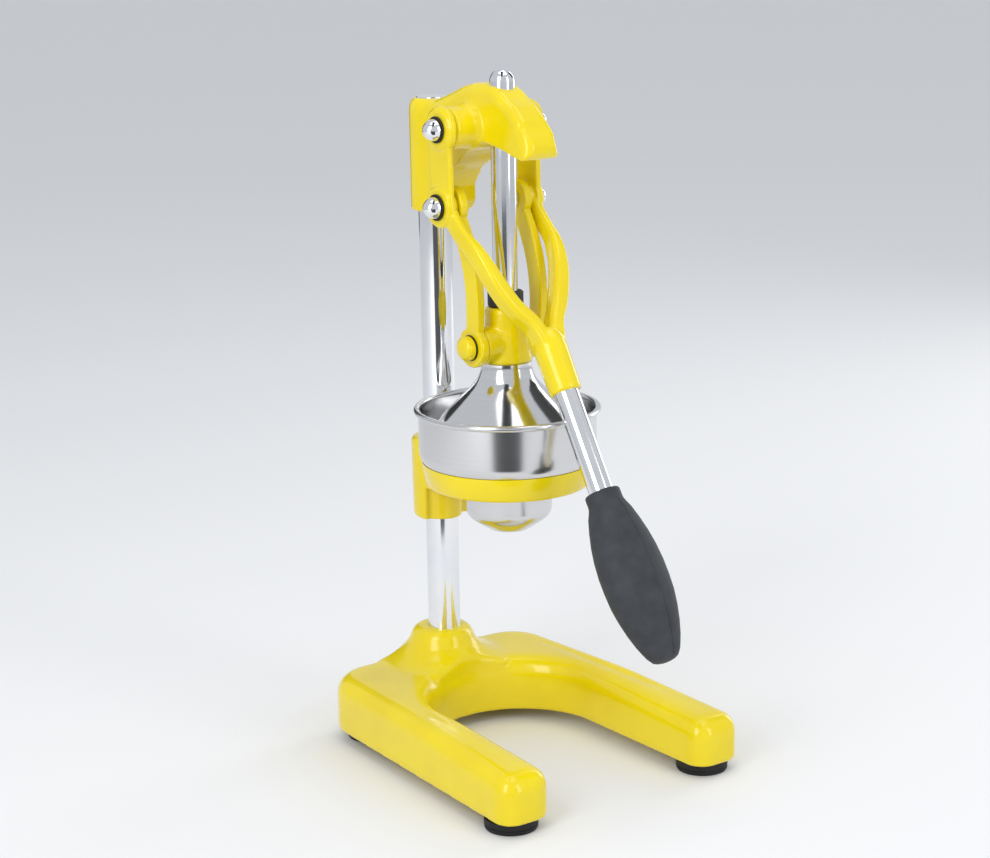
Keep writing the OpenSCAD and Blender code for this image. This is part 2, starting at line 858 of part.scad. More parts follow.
strainer_flat = bowl_seat_z + bowl_wall;
strainer_top_r = strainer_r / 5;
strainer_low_r = strainer_r - 3 * base_wall;

module strainer_cone() {
    slope = (strainer_low_r - strainer_top_r) / strainer_h;
    color(steel)
        placed()
            translate([0, 0, strainer_flat])
                difference() {
                    rotate_extrude()
                        polygon([
                            [strainer_low_r, 0], [strainer_r, 0], [strainer_r, bowl_wall],
                            [strainer_low_r + bowl_wall / 2, bowl_wall],
                            [strainer_top_r + bowl_wall, strainer_h], [0, strainer_h + strainer_top_r / 2],
                            [0, strainer_h + strainer_top_r / 2 - bowl_wall], [strainer_top_r, strainer_h - bowl_wall]]);
                    for (i = [0:strainer_holes - 1])
                        rotate([0, 0, i * 360 / strainer_holes])
                            translate([strainer_low_r - slope * base_wall, 0, -over])
                                cylinder(h = strainer_h, r = bowl_wall * 1.5);
                }
}

// Head:

// Side outline of the hood and its web, as shares of its length and height
hood_shares = [
    [0, 0.807], [0.137, 0.828], [0.213, 0.864], [0.307, 0.916], [0.399, 0.962],
    [0.49, 0.991], [0.575, 0.995], [0.667, 0.977], [0.727, 0.941], [0.768, 0.902],
    [0.837, 0.852], [0.881, 0.801], [0.91, 0.761], [0.936, 0.694], [0.973, 0.643],
    [0.993, 0.589], [0.992, 0.53], [0.965, 0.492], [0.933, 0.485], [0.865, 0.508],
    [0.805, 0.533], [0.744, 0.55], [0.683, 0.567], [0.603, 0.58], [0.495, 0.539],
    [0.417, 0.459], [0.372, 0.395], [0.307, 0.336], [0.259, 0.264], [0.233, 0.198],
    [0.233, 0.084], [0.208, 0.033], [0.167, 0], [0, 0]];
hood_top_n = 16; // how many of those points lie on the upper edge

function hood_point(i, drop) = [
    reach - hood_shares[i].x * hood_len + (i > hood_top_n / 2 && i < hood_top_n + 1 ? drop : 0),
    barrel_low_z + hood_shares[i].y * hood_h - (i < hood_top_n ? drop : 0)];

module hood_outline(drop) {
    polygon([for (i = [0:len(hood_shares) - 1]) hood_point(i, drop)]);
}

module head_casting() {
    edge = 5 * barrel_wall / 4;
    color(yellow)
        placed()
            difference() {
                union() {
                    at_column(barrel_low_z)
                        rotate_extrude() {
                            square([barrel_r, barrel_h - edge]);
                            square([barrel_r - edge, barrel_h]);
                            intersection() {
                                translate([barrel_r - edge, barrel_h - edge])
                                    circle(edge);
                                square([barrel_r, barrel_h]);
                            }
                        }
                    // the hood in three layers, which step in towards its crown
                    for (i = [0:2])
                        side_plate(i * hood_bevel - hood_half_w, hood_half_w - i * hood_bevel)
                            hood_outline(hood_bevel * (2 - i) * (3 - i) / 4);
                    across(p1, -pivot_half_w)
                        cylinder(h = 2 * pivot_half_w, r = pivot_boss_r);
                }
                // the column's bore, open at the top
                at_column(barrel_low_z - over)
                    cylinder(h = 2 * hood_h, r = column_r + seat_fit);
                // seat of the guide bush, and the rod's hole in the crown
                translate([0, 0, barrel_low_z])
                    cylinder(h = guide_top_z - barrel_low_z, r = guide_r);
                translate([0, 0, barrel_low_z])
                    cylinder(h = 2 * hood_h, r = rod_r + gap);
                for (side = [-1, 1])
                    side_disc(p1, pivot_half_w - bolt_depth - over, pivot_half_w + over, pin_r + seat_fit, side);
                for (z = head_screw_z)
                    translate([0, reach, z])
                        rotate([-90, 0, 0])
                            cylinder(h = barrel_r + over, r = set_screw_d / 2 + seat_fit);
            }
}

bolt_depth = 19 * pin_r / 5;

module head_set_screws() {
    color(steel)
        placed()
            for (z = head_screw_z)
                set_screw(z, column_r + seat_fit, barrel_r - set_screw_d / 12);
}

guide_low_share = 0.585;
guide_top_share = 0.9;
guide_low_z = barrel_low_z + guide_low_share * hood_h;
guide_top_z = barrel_low_z + guide_top_share * hood_h;

module rod_guide_bush() {
    color(bronze)
        placed()
            translate([0, 0, guide_low_z])
                difference() {
                    cylinder(h = guide_top_z - guide_low_z, r = guide_r);
                    translate([0, 0, -over])
                        cylinder(h = guide_top_z - guide_low_z + 2 * over, r = rod_r + run_fit);
                }
}

// Domed head that sits on a washer at the distance x from the middle. Its
// side is an arc that meets the axis in a blunt point.
dome_arc_r = (dome_h * dome_h + dome_r * dome_r) / (2 * dome_r);

module dome(x) {
    translate([x, 0, 0])
        rotate([0, 90, 0])
            rotate_extrude()
                intersection() {
                    translate([dome_r - dome_arc_r, 0])
                        circle(dome_arc_r);
                    square([dome_r, dome_h]);
                }
}

module fork_pivot_bolts() {
    color(chrome)
        placed()
            both_sides()
                translate([0, p1.x, p1.y]) {
                    translate([pivot_half_w - bolt_depth, 0, 0])
                        rotate([0, 90, 0])
                            cylinder(h = washer_out - pivot_half_w + bolt_depth + over / 2, r = pin_r);
                    dome(washer_out);
                }
}

module washer_at(p) {
    translate([washer_in, p.x, p.y])
        rotate([0, 90, 0])
            difference() {
                cylinder(h = washer_t, r = washer_r);
                translate([0, 0, -over])
                    cylinder(h = washer_t + 2 * over, r = pin_r + seat_fit);
            }
}

module fork_pivot_washers() {
    color(black)
        placed()
            both_sides()
                washer_at(p1);
}

// Lever:

bush_r = 13 * pin_r / 10;
bush_flange_r = 17 * pin_r / 10;

// Middle line of an arm seen from the side, as shares between pin and crotch
arm_line_shares = [[0.02, -0.04], [0.13, 0.07], [0.27, 0.19], [0.4, 0.28], [0.52, 0.36], [0.64, 0.5], [0.74, 0.65], [0.87, 0.83], [1, 1], [1.14, 1.13]];
// Outer face of an arm seen from the front, as shares of width and height
arm_front_shares = [
    [1, -0.06], [1, 0.06], [0.998, 0.19], [0.98, 0.33], [0.91, 0.47], [0.8, 0.62],
    [0.69, 0.76], [0.55, 0.89], [0.39, 1], [0.3, 1.1], [0.26, 1.28]];

function arm_point(i) = p2 + [
    arm_line_shares[i].x * (crotch.x - p2.x),
    arm_line_shares[i].y * (crotch.y - p2.y)];
function arm_normal(i) = let(
    a = arm_point(max(i - 1, 0)),
    b = arm_point(min(i + 1, len(arm_line_shares) - 1)),
    d = (b - a) / norm(b - a)) [-d.y, d.x];

module arm_side_outline() {
    n = len(arm_line_shares) - 1;
    polygon(concat(
        [for (i = [0:n]) arm_point(i) + arm_normal(i) * arm_w / 2],
        [for (i = [n:-1:0]) arm_point(i) - arm_normal(i) * arm_w / 2]));
}

module arm_front_outline() {
    n = len(arm_front_shares) - 1;
    h = p2.y - crotch.y;
    polygon(concat(
        [for (i = [0:n]) [arm_front_shares[i].x * ear_out, p2.y - arm_front_shares[i].y * h]],
        [for (i = [n:-1:0]) [
            max(0, arm_front_shares[i].x * ear_out - arm_t * (i > 4 ? 1 + (i - 4) / 5 : 1)),
            p2.y - arm_front_shares[i].y * h]]));
}

module along_handle(s) {
    translate([0, crotch.x, crotch.y])
        rotate([-handle_angle, 0, 0])
            rotate([180, 0, 0])
                translate([0, 0, s])
                    children();
}

module lever_fork() {
    color(yellow)
        placed()
            difference() {
                union() {
                    both_sides() {
                        // ear with its two round ends and pads
                        side_plate(ear_in, ear_out) {
                            translate(p1)
                                circle(ear_top_r);
                            translate(p2)
                                circle(ear_low_r);
                            translate(p2)
                                rotate(crank_lean)
                                    translate([-ear_w / 2, 0])
                                        square([ear_w, crank_len]);
                        }
                        side_disc(p1, ear_out - over, pad_out, pad_r, 1);
                        side_disc(p2, ear_out - over, pad_out, pad_r, 1);
                        side_disc(p2, inner_pad_in, ear_in + over, inner_pad_r, 1);
                        // arm down to the crotch
                        intersection() {
                            side_plate(0, ear_out)
                                arm_side_outline();
                            rotate([90, 0, 0])
                                translate([0, 0, -reach])
                                    linear_extrude(2 * reach)
                                        arm_front_outline();
                        }
                    }
                    // socket for the handle
                    along_handle(-over)
                        cylinder(h = socket_len + over, r1 = socket_r, r2 = socket_end_r);
                }
                for (side = [-1, 1]) {
                    side_disc(p1, ear_in - over, pad_out + over, bush_r + seat_fit, side);
                    side_disc(p2, inner_pad_in - over, pad_out + over, pin_r + seat_fit, side);
                }
                along_handle(tube_at / 2)
                    cylinder(h = socket_len + over, r = tube_r + seat_fit);
                along_handle(pin_at)
                    rotate([0, 90, 0])
                        translate([0, 0, -tube_d])
                            cylinder(h = 2 * tube_d, r = handle_pin_r + seat_fit);
            }
}

pin_at = socket_len / 2;
tube_at = tube_d / 8; // how deep in the socket the tube starts
handle_pin_r = tube_wall;

module fork_bushes() {
    color(bronze)
        placed()
            both_sides()
                translate([0, p1.x, p1.y])
                    rotate([0, 90, 0])
                        difference() {
                            union() {
                                translate([0, 0, ear_in])
                                    cylinder(h = pad_out - ear_in, r = bush_r);
                                translate([0, 0, pivot_half_w + gap / 2])
                                    cylinder(h = ear_in - pivot_half_w - gap / 2, r = bush_flange_r);
                            }
                            cylinder(h = pad_out + over, r = pin_r + run_fit);
                        }
}

pin_head_t = pin_r / 5;

module link_pins() {
    color(chrome)
        placed()
            both_sides()
                translate([0, p2.x, p2.y]) {
                    translate([link_in - gap, 0, 0])
                        rotate([0, 90, 0])
                            cylinder(h = washer_out - link_in + gap + over / 2, r = pin_r);
                    translate([link_in - gap - pin_head_t, 0, 0])
                        rotate([0, 90, 0])
                            cylinder(h = pin_head_t, r = 13 * pin_r / 10);
                    dome(washer_out);
                }
}

module link_pin_washers() {
    color(black)
        placed()
            both_sides()
                washer_at(p2);
}

module handle_tube() {
    l = grip_start + grip_len / 2 - tube_at;
    color(chrome)
        placed()
            along_handle(tube_at)
                difference() {
                    cylinder(h = l, r = tube_r);
                    translate([0, 0, -over])
                        cylinder(h = l + 2 * over, r = tube_r - tube_wall);
                    translate([0, 0, pin_at - tube_at])
                        rotate([0, 90, 0])
                            translate([0, 0, -tube_d])
                                cylinder(h = 2 * tube_d, r = handle_pin_r + seat_fit);
                }
}

module handle_pin() {
    color(steel)
        placed()
            along_handle(pin_at)
                rotate([0, 90, 0])
                    translate([0, 0, -socket_end_r])
                        cylinder(h = 2 * socket_end_r, r = handle_pin_r);
}

// Turned shape of the grip about its own axis, as [r, s]
module grip_turned() {
    n = len(grip_station_shares) - 1;
    polygon(concat([[0, 0]], [for (i = [0:n]) [grip_w(i), grip_s(i)]], [[0, grip_len]]));
}

// Band that gives the grip its thickness, as [thickness, s]
module grip_band() {
    n = len(grip_station_shares) - 1;
    polygon(concat(
        [for (i = [0:n]) [grip_t(i), grip_s(i)]],
        [for (i = [n:-1:0]) [-grip_t(i), grip_s(i)]]));
}

module grip() {
    color(rubber)
        placed()
            difference() {
                translate([0, grip_at.x, grip_at.y])
                    rotate([180 - grip_angle, 0, 0])
                        intersection() {
                            rotate_extrude()
                                grip_turned();
                            rotate([90, 0, 90])
                                translate([0, 0, -2 * grip_half_w])
                                    linear_extrude(4 * grip_half_w)
                                        grip_band();
                        }
                along_handle(grip_start - 2 * over)
                    cylinder(h = grip_len / 2 + 3 * over, r = tube_r + seat_fit);
            }
}

// Links:

// Bowed band of a link in its own frame, from the lower hole upwards
module link_band() {
    n = 14;
    u0_share = 0.04;
    function at(i) = u0_share + (1 - 2 * u0_share) * i / n;
    function bow(u) = -link_bow * sin(180 * u);
    polygon(concat(
        [for (i = [0:n]) [bow(at(i)) - link_w / 2, at(i) * link_len]],
        [for (i = [n:-1:0]) [bow(at(i)) + link_w / 2, at(i) * link_len]]));
}

module link() {
    difference() {
        union() {
            side_plate(link_in, link_out)
                translate(p3)
                    rotate(-link_lean)
                        link_band();
            side_disc(p2, link_in, link_out, link_eye_r, 1);
            side_disc(p3, link_in, link_out, link_eye_r, 1);
        }
        side_disc(p2, link_in - over, link_out + over, pin_r + run_fit, 1);
        side_disc(p3, link_in - over, link_out + over, trunnion_r + seat_fit, 1);
    }
}

module trunnion_pin() {
    side_disc(p3, link_in, link_out + cap_ring_t + cap_len / 2, trunnion_r, 1);
}

module trunnion_ring() {
    difference() {
        side_disc(p3, link_out, link_out + cap_ring_t, cap_r + cap_ring_t / 2, 1);
        side_disc(p3, link_out - over, link_out + cap_ring_t + over, trunnion_r + seat_fit, 1);
    }
}

module trunnion_cap() {
    dome_h = cap_r / 2;
    sphere_r = (cap_r * cap_r + dome_h * dome_h) / (2 * dome_h);
    difference() {
        translate([link_out + cap_ring_t, p3.x, p3.y])
            rotate([0, 90, 0])
                rotate_extrude()
                    union() {
                        square([cap_r, cap_len]);
                        intersection() {
                            translate([0, cap_len + dome_h - sphere_r])
                                circle(sphere_r);
                            square([cap_r, cap_len + dome_h]);
                        }
                    }
        side_disc(p3, link_out, link_out + cap_ring_t + cap_len / 2, trunnion_r + seat_fit, 1);
    }
}

module link_left() {
    color(yellow)
        placed()
            scale_side(-1)
                link();
}

module link_right() {
    color(yellow)
        placed()
            link();
}

module trunnion_pin_left() {
    color(steel)
        placed()
            scale_side(-1)
                trunnion_pin();
}

module trunnion_pin_right() {
    color(steel)
        placed()
            trunnion_pin();
}

module trunnion_ring_left() {
    color(black)
        placed()
            scale_side(-1)
                trunnion_ring();
}

module trunnion_ring_right() {
    color(black)
        placed()
            trunnion_ring();
}

module trunnion_cap_left() {
    color(yellow)
        placed()
            scale_side(-1)
                trunnion_cap();
}

module trunnion_cap_right() {
    color(yellow)
        placed()
            trunnion_cap();
}

// Crosshead, rod and bell:

module crosshead() {
    edge = base_wall / 2;
    color(yellow)
        placed()
            difference() {
                union() {
                    translate([0, 0, p3.y - cross_down])
                        rotate_extrude() {
                            square([cross_r, cross_down + cross_up - edge]);
                            polygon([[0, 0], [cross_rim_r - cross_rim_h / 8, 0], [cross_rim_r, cross_rim_h / 8],
                                [cross_rim_r, 3 * cross_rim_h / 4], [cross_rim_r - cross_rim_h / 4, cross_rim_h],
                                [cross_r, cross_rim_h + cross_taper_h], [0, cross_rim_h + cross_taper_h]]);
                            square([cross_r - edge, cross_down + cross_up]);
                            translate([cross_r - edge, cross_down + cross_up - edge])
                                circle(edge);
                        }
                    across(p3, -cross_half_w)
                        cylinder(h = 2 * cross_half_w, r = cross_boss_r);
                }
                translate([0, 0, rod_low_z])
                    cylinder(h = cross_up + cross_down, r = rod_r + seat_fit);
                translate([0, 0, bell_top_z - cross_down])
                    cylinder(h = 2 * cross_down, r = bell_screw_d / 2 + seat_fit);
                // the boss stops level with the rim
                translate([-cross_half_w - over, -cross_half_w, p3.y - cross_down - 2 * cross_boss_r])
                    cube([2 * cross_half_w + 2 * over, 2 * cross_half_w, 2 * cross_boss_r]);
            }
}

module plunger_rod() {
    color(chrome)
        placed()
            difference() {
                union() {
                    translate([0, 0, rod_low_z])
                        cylinder(h = rod_len - rod_r, r = rod_r);
                    translate([0, 0, rod_top_z - rod_r])
                        sphere(rod_r);
                }
                translate([0, 0, rod_low_z - over])
                    cylinder(h = 2 * bell_screw_d + over, r = bell_screw_d / 2 + seat_fit);
            }
}

module stop_collar() {
    color(rubber)
        placed()
            translate([0, 0, p3.y + cross_up])
                difference() {
                    cylinder(h = collar_h, r = collar_r);
                    translate([0, 0, -over])
                        cylinder(h = collar_h + 2 * over, r = rod_r + seat_fit);
                }
}

// Outer outline of the bell as [r, z] points below its top, set in by t
bell_flare_shares = [[0, 0], [0.1, 0.3], [0.4, 0.65], [1, 1]];

function bell_points(t) = let(
    r1 = bell_neck_r + bell_flare_w,
    z1 = -bell_neck_h - bell_flare_h) concat(
    [[bell_neck_r - t, -t]],
    [for (s = bell_flare_shares)
        [bell_neck_r + s.x * bell_flare_w - t, -bell_neck_h - s.y * bell_flare_h - t / 2]],
    [[bell_rim_r - t, z1 - (bell_rim_r - r1) * tan(bell_angle) - t / 2]]);

module press_bell() {
    outer = bell_points(0);
    inner = bell_points(bell_wall);
    n = len(outer) - 1;
    color(steel)
        placed()
            translate([0, 0, bell_top_z])
                rotate_extrude()
                    polygon(concat(
                        [[bell_screw_d / 2 + seat_fit, 0]],
                        outer,
                        [for (i = [n:-1:0]) inner[i]],
                        [[bell_screw_d / 2 + seat_fit, -bell_wall]]));
}

bell_washer_t = bell_screw_d / 4;

module bell_screw() {
    color(steel)
        placed()
            translate([0, 0, bell_top_z - bell_wall - bell_washer_t]) {
                cylinder(h = 2 * bell_screw_d + bell_wall + bell_washer_t, r = bell_screw_d / 2);
                translate([0, 0, -bell_screw_d * 0.65])
                    cylinder(h = bell_screw_d * 0.65, r = bell_screw_d * 0.9, $fn = 6);
            }
}

module bell_washer() {
    color(steel)
        placed()
            translate([0, 0, bell_top_z - bell_wall - bell_washer_t])
                difference() {
                    cylinder(h = bell_washer_t, r = 9 * bell_screw_d / 8);
                    translate([0, 0, -over])
                        cylinder(h = bell_washer_t + 2 * over, r = bell_screw_d / 2 + seat_fit);
                }
}

base_casting();
rubber_feet();
foot_screws();
column();
column_bolt();
column_washer();
cup_holder();
holder_set_screws();
juice_bowl();
strainer_cone();
head_casting();
head_set_screws();
rod_guide_bush();
fork_pivot_bolts();
fork_pivot_washers();
lever_fork();
fork_bushes();
link_pins();
link_pin_washers();
handle_tube();
handle_pin();
grip();
link_left();
trunnion_pin_left();
trunnion_ring_left();
trunnion_cap_left();
link_right();
trunnion_pin_right();
trunnion_ring_right();
trunnion_cap_right();
crosshead();
plunger_rod();
stop_collar();
press_bell();
bell_screw();
bell_washer();
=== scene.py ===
import math

import bmesh
import bpy
from mathutils import Matrix, Vector


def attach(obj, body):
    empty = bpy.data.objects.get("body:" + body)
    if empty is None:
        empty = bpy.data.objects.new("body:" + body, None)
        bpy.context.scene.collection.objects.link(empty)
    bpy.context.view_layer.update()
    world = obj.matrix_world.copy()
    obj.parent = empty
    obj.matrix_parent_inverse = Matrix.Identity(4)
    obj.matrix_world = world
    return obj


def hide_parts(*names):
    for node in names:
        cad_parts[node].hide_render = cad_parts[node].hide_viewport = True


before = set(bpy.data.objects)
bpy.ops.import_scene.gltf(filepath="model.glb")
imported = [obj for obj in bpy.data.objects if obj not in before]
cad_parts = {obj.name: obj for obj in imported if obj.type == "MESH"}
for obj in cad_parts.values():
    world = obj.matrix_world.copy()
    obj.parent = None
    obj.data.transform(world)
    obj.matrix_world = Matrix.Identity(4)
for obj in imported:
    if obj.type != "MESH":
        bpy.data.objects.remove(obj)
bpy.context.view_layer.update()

# Base: one hollow iron casting under thick glossy yellow enamel. An arch joins
# two legs whose tops fall a little to the front, and a flared hump takes the
# column. The rough shapes are fused and softened as casting and enamel do.


def enamelled_casting(bm, name, grain, rounds):
    """Fuses the shapes in bm with a voxel grain, and softens them so many rounds"""
    bmesh.ops.recalc_face_normals(bm, faces=bm.faces)
    mesh = bpy.data.meshes.new(name)
    bm.to_mesh(mesh)
    bm.free()
    rough = bpy.data.objects.new(name + "_rough", mesh)
    bpy.context.scene.collection.objects.link(rough)
    fuse = rough.modifiers.new("fuse", "REMESH")
    fuse.mode = "VOXEL"
    fuse.voxel_size = grain
    soften = rough.modifiers.new("soften", "SMOOTH")
    soften.factor = 0.5
    soften.iterations = rounds
    look = bpy.context.evaluated_depsgraph_get()
    shape = bpy.data.meshes.new_from_object(rough.evaluated_get(look))
    bpy.data.objects.remove(rough)
    shape.name = name
    piece = bpy.data.objects.new(name, shape)
    bpy.context.scene.collection.objects.link(piece)
    shape.shade_smooth()
    return piece


def turned(bm, profile, place, steps=96, closed=False):
    """Spins an (r, z) profile about the local Z axis, then puts it in place"""
    verts = [bm.verts.new((r, 0, z)) for r, z in profile]
    edges = [bm.edges.new(pair) for pair in zip(verts, verts[1:])]
    if closed:
        edges.append(bm.edges.new((verts[-1], verts[0])))
    before = set(bm.verts) - set(verts)
    bmesh.ops.spin(bm, geom=verts + edges, cent=(0, 0, 0), axis=(0, 0, 1),
                   angle=2 * math.pi, steps=steps, use_merge=True)
    made = [v for v in bm.verts if v not in before]
    bmesh.ops.remove_doubles(bm, verts=made, dist=1e-6)
    made = [v for v in bm.verts if v not in before]
    bmesh.ops.transform(bm, matrix=place, verts=made)
    return made


def thicken(bm, faces, offset):
    """Pulls a copy of open faces along offset, so that they become a solid"""
    pulled = bmesh.ops.extrude_face_region(bm, geom=faces, use_keep_orig=True)["geom"]
    bmesh.ops.translate(bm, vec=offset,
                        verts=[v for v in pulled if isinstance(v, bmesh.types.BMVert)])


def bare_finish(name):
    """A new material with its node tree, its shader and the Object coordinates"""
    mat = bpy.data.materials.new(name)
    mat.use_nodes = True
    tree = mat.node_tree
    place = tree.nodes.new("ShaderNodeTexCoord").outputs["Object"]
    return mat, tree, tree.nodes["Principled BSDF"], place


def mottle(tree, vector, scale, detail, rough=0.5):
    noise = tree.nodes.new("ShaderNodeTexNoise")
    noise.inputs["Scale"].default_value = scale
    noise.inputs["Detail"].default_value = detail
    noise.inputs["Roughness"].default_value = rough
    tree.links.new(vector, noise.inputs["Vector"])
    return noise.outputs["Fac"]


def colour_by(tree, value, skin, *stops):
    """Colours the skin between two shades; a stop is a position and its colour"""
    tint = tree.nodes.new("ShaderNodeValToRGB")
    for element, (position, colour) in zip(tint.color_ramp.elements, stops):
        element.position = position
        element.color = (*colour, 1)
    tree.links.new(value, tint.inputs["Fac"])
    tree.links.new(tint.outputs["Color"], skin.inputs["Base Color"])


def gloss_by(tree, value, skin, low, high):
    """Lets the roughness wander between low and high"""
    gloss = tree.nodes.new("ShaderNodeMapRange")
    gloss.inputs["To Min"].default_value = low
    gloss.inputs["To Max"].default_value = high
    tree.links.new(value, gloss.inputs["Value"])
    tree.links.new(gloss.outputs["Result"], skin.inputs["Roughness"])


def emboss_by(tree, value, skin, strength, height):
    bump = tree.nodes.new("ShaderNodeBump")
    bump.inputs["Strength"].default_value = strength
    bump.inputs["Distance"].default_value = height
    tree.links.new(value, bump.inputs["Height"])
    tree.links.new(bump.outputs["Normal"], skin.inputs["Normal"])


# yellow enamel: a slow drift of the colour, a slightly uneven gloss, and the
# orange peel of a sprayed coat over a sand-cast skin
enamel, tree, skin, place = bare_finish("yellow_enamel")
skin.inputs["Specular IOR Level"].default_value = 0.35
skin.inputs["Coat Weight"].default_value = 0.4
skin.inputs["Coat Roughness"].default_value = 0.07
colour_by(tree, mottle(tree, place, 22, 3), skin,
          (0.3, (0.78, 0.60, 0.001)), (0.72, (0.86, 0.69, 0.002)))
gloss_by(tree, mottle(tree, place, 90, 4), skin, 0.2, 0.24)
emboss_by(tree, mottle(tree, place, 420, 2), skin, 0.025, 0.0002)

bm = bmesh.new()
arch_r, arch_y = 0.0584, 0.0216
underside_z, casting_h, base_wall, pocket_depth = 0.0075, 0.0375, 0.005, 0.027
half = [(-0.002, 0.1339), (0.0832, 0.1339), (0.0960, -0.0930), (0.0582, -0.0930)]
for step in range(11):
    turn = math.radians(8 + 8.4 * step)
    half.append((arch_r * math.cos(turn), arch_y + arch_r * math.sin(turn)))
bm.faces.new([bm.verts.new((x, y, underside_z)) for x, y in half])
bm.verts.ensure_lookup_table()
back, outer, inner = bm.verts[1], bm.verts[2], bm.verts[3]
bmesh.ops.bevel(bm, geom=[back], offset=0.028, segments=10, profile=0.5,
                material=-1, affect="VERTICES")
bmesh.ops.bevel(bm, geom=[outer, inner], offset=0.0125, segments=8, profile=0.5,
                material=-1, affect="VERTICES")
for side in [e for e in bm.edges if e.calc_length() > 0.02]:
    bmesh.ops.subdivide_edges(bm, edges=[side], cuts=int(side.calc_length() / 0.01))
floor_face = bm.faces[:][0]
if floor_face.normal.z > 0:
    bmesh.ops.reverse_faces(bm, faces=[floor_face])
thicken(bm, [floor_face], (0, 0, casting_h))
bmesh.ops.recalc_face_normals(bm, faces=bm.faces)
top = max(bm.faces, key=lambda f: f.calc_center_median().z)
rim = [e for e in top.edges if max(v.co.x for v in e.verts) > -0.001]
bmesh.ops.bevel(bm, geom=rim, offset=0.012, segments=8, profile=0.5,
                material=-1, affect="EDGES", clamp_overlap=False)
# the pocket under the casting leaves a wall of even thickness
floor_face = min(bm.faces, key=lambda f: f.calc_center_median().z)
bmesh.ops.inset_region(bm, faces=[floor_face], thickness=base_wall, use_even_offset=True)
bmesh.ops.extrude_discrete_faces(bm, faces=[floor_face])
floor_face = min((f for f in bm.faces if len(f.verts) > 20), key=lambda f: f.calc_center_median().z)
bmesh.ops.translate(bm, vec=(0, 0, pocket_depth), verts=floor_face.verts[:])
# the top is level over the arch and falls gently along the legs
fall_from, fall_slope, fall_round = 0.0119, 0.0559, 0.006
for v in bm.verts:
    if v.co.z > 0.02:
        ahead = fall_from - v.co.y
        v.co.z -= fall_slope * (math.hypot(ahead, fall_round) + ahead) / 2
bmesh.ops.mirror(bm, geom=bm.verts[:] + bm.edges[:] + bm.faces[:], axis="X", merge_dist=0)
# hump round the column's foot; its front stops above the arch's wall
hump = turned(bm, [(0, 0.0676), (0.0145, 0.0676), (0.0178, 0.0666), (0.0202, 0.0643),
                   (0.0214, 0.0612), (0.0226, 0.0580), (0.0246, 0.0549), (0.0276, 0.0519),
                   (0.0318, 0.0491), (0.0368, 0.0468), (0.0415, 0.0455), (0.045, 0.0449),
                   (0.045, 0.038), (0, 0.038)],
              Matrix.Translation((0, 0.1099, 0)))
hump_back_y = 0.1300
for v in hump:
    v.co.y = min(v.co.y, hump_back_y)
    ray = Vector((v.co.x, v.co.y - arch_y))
    if ray.length < arch_r + 0.0005:
        ray.length = arch_r + 0.0005
        v.co.x, v.co.y = ray.x, ray.y + arch_y
# bosses for the column's bolt and the foot screws
bmesh.ops.create_cone(bm, cap_ends=True, segments=48, radius1=0.017, radius2=0.019, depth=0.032,
                      matrix=Matrix.Translation((0, 0.1069, 0.025)))
foot_places = [(0.0774, -0.0732), (-0.0774, -0.0732), (0.0592, 0.1099), (-0.0592, 0.1099)]
for x, y in foot_places:
    bmesh.ops.create_cone(bm, cap_ends=True, segments=32, radius1=0.0075, radius2=0.0075,
                          depth=0.03, matrix=Matrix.Translation((x, y, 0.0226)))
base = enamelled_casting(bm, "base_body", 0.0012, 30)
base.data.materials.append(enamel)
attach(base, "frame")
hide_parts("base_casting")

# Feet: four black rubber pads under the base's corners. Each is held by a sunk
# screw, and has a groove round its side and a softened lower edge.


def dull_rubber(name, dark, light, grain):
    """Moulded rubber with a bloom and a fine stipple of so many grains a metre"""
    mat, tree, skin, place = bare_finish(name)
    skin.inputs["Specular IOR Level"].default_value = 0.35
    bloom = mottle(tree, place, grain / 12, 6)
    colour_by(tree, bloom, skin, (0.32, dark), (0.7, light))
    gloss_by(tree, bloom, skin, 0.52, 0.72)
    emboss_by(tree, mottle(tree, place, grain, 2), skin, 0.35, 0.0001)
    return mat


def smooth_piece(bm, name, mat, body, node):
    """Makes a piece of bm that rides on a body and stands for a CAD node"""
    bmesh.ops.recalc_face_normals(bm, faces=bm.faces)
    mesh = bpy.data.meshes.new(name)
    bm.to_mesh(mesh)
    bm.free()
    mesh.shade_smooth()
    mesh.set_sharp_from_angle(angle=math.radians(38))
    mesh.materials.append(mat)
    piece = bpy.data.objects.new(name, mesh)
    bpy.context.scene.collection.objects.link(piece)
    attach(piece, body)
    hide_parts(node)


foot_black = dull_rubber("foot_rubber", (0.006, 0.006, 0.007), (0.016, 0.016, 0.017), 1500)
bm = bmesh.new()
for x, y in foot_places:
    turned(bm, [(0.0054, 0), (0.0154, 0), (0.0163, 0.0004), (0.0167, 0.0012), (0.0168, 0.0026),
                (0.0163, 0.003), (0.0163, 0.0034), (0.0169, 0.0038), (0.017, 0.0073),
                (0.0026, 0.0075), (0.0026, 0.0041), (0.0054, 0.0041)],
           Matrix.Translation((x, y, 0)), 72, closed=True)
smooth_piece(bm, "foot_pads", foot_black, "frame", "rubber_feet")

# Fasteners out of sight: zinc-plated steel screws in the feet, the column's
# bolt and washer, the handle's pin and the pins in the crosshead.


def plated_metal(name, low, high):
    """Metal with the fine spangle of a plated or turned surface"""
    mat, tree, skin, place = bare_finish(name)
    skin.inputs["Metallic"].default_value = 1
    spangle = tree.nodes.new("ShaderNodeTexVoronoi")
    spangle.inputs["Scale"].default_value = 700
    tree.links.new(place, spangle.inputs["Vector"])
    colour_by(tree, spangle.outputs["Color"], skin, (0, low), (1, high))
    gloss_by(tree, spangle.outputs["Distance"], skin, 0.28, 0.44)
    return mat


def finish_cad(mat, *nodes):
    for node in nodes:
        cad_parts[node].data.materials.clear()
        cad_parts[node].data.materials.append(mat)


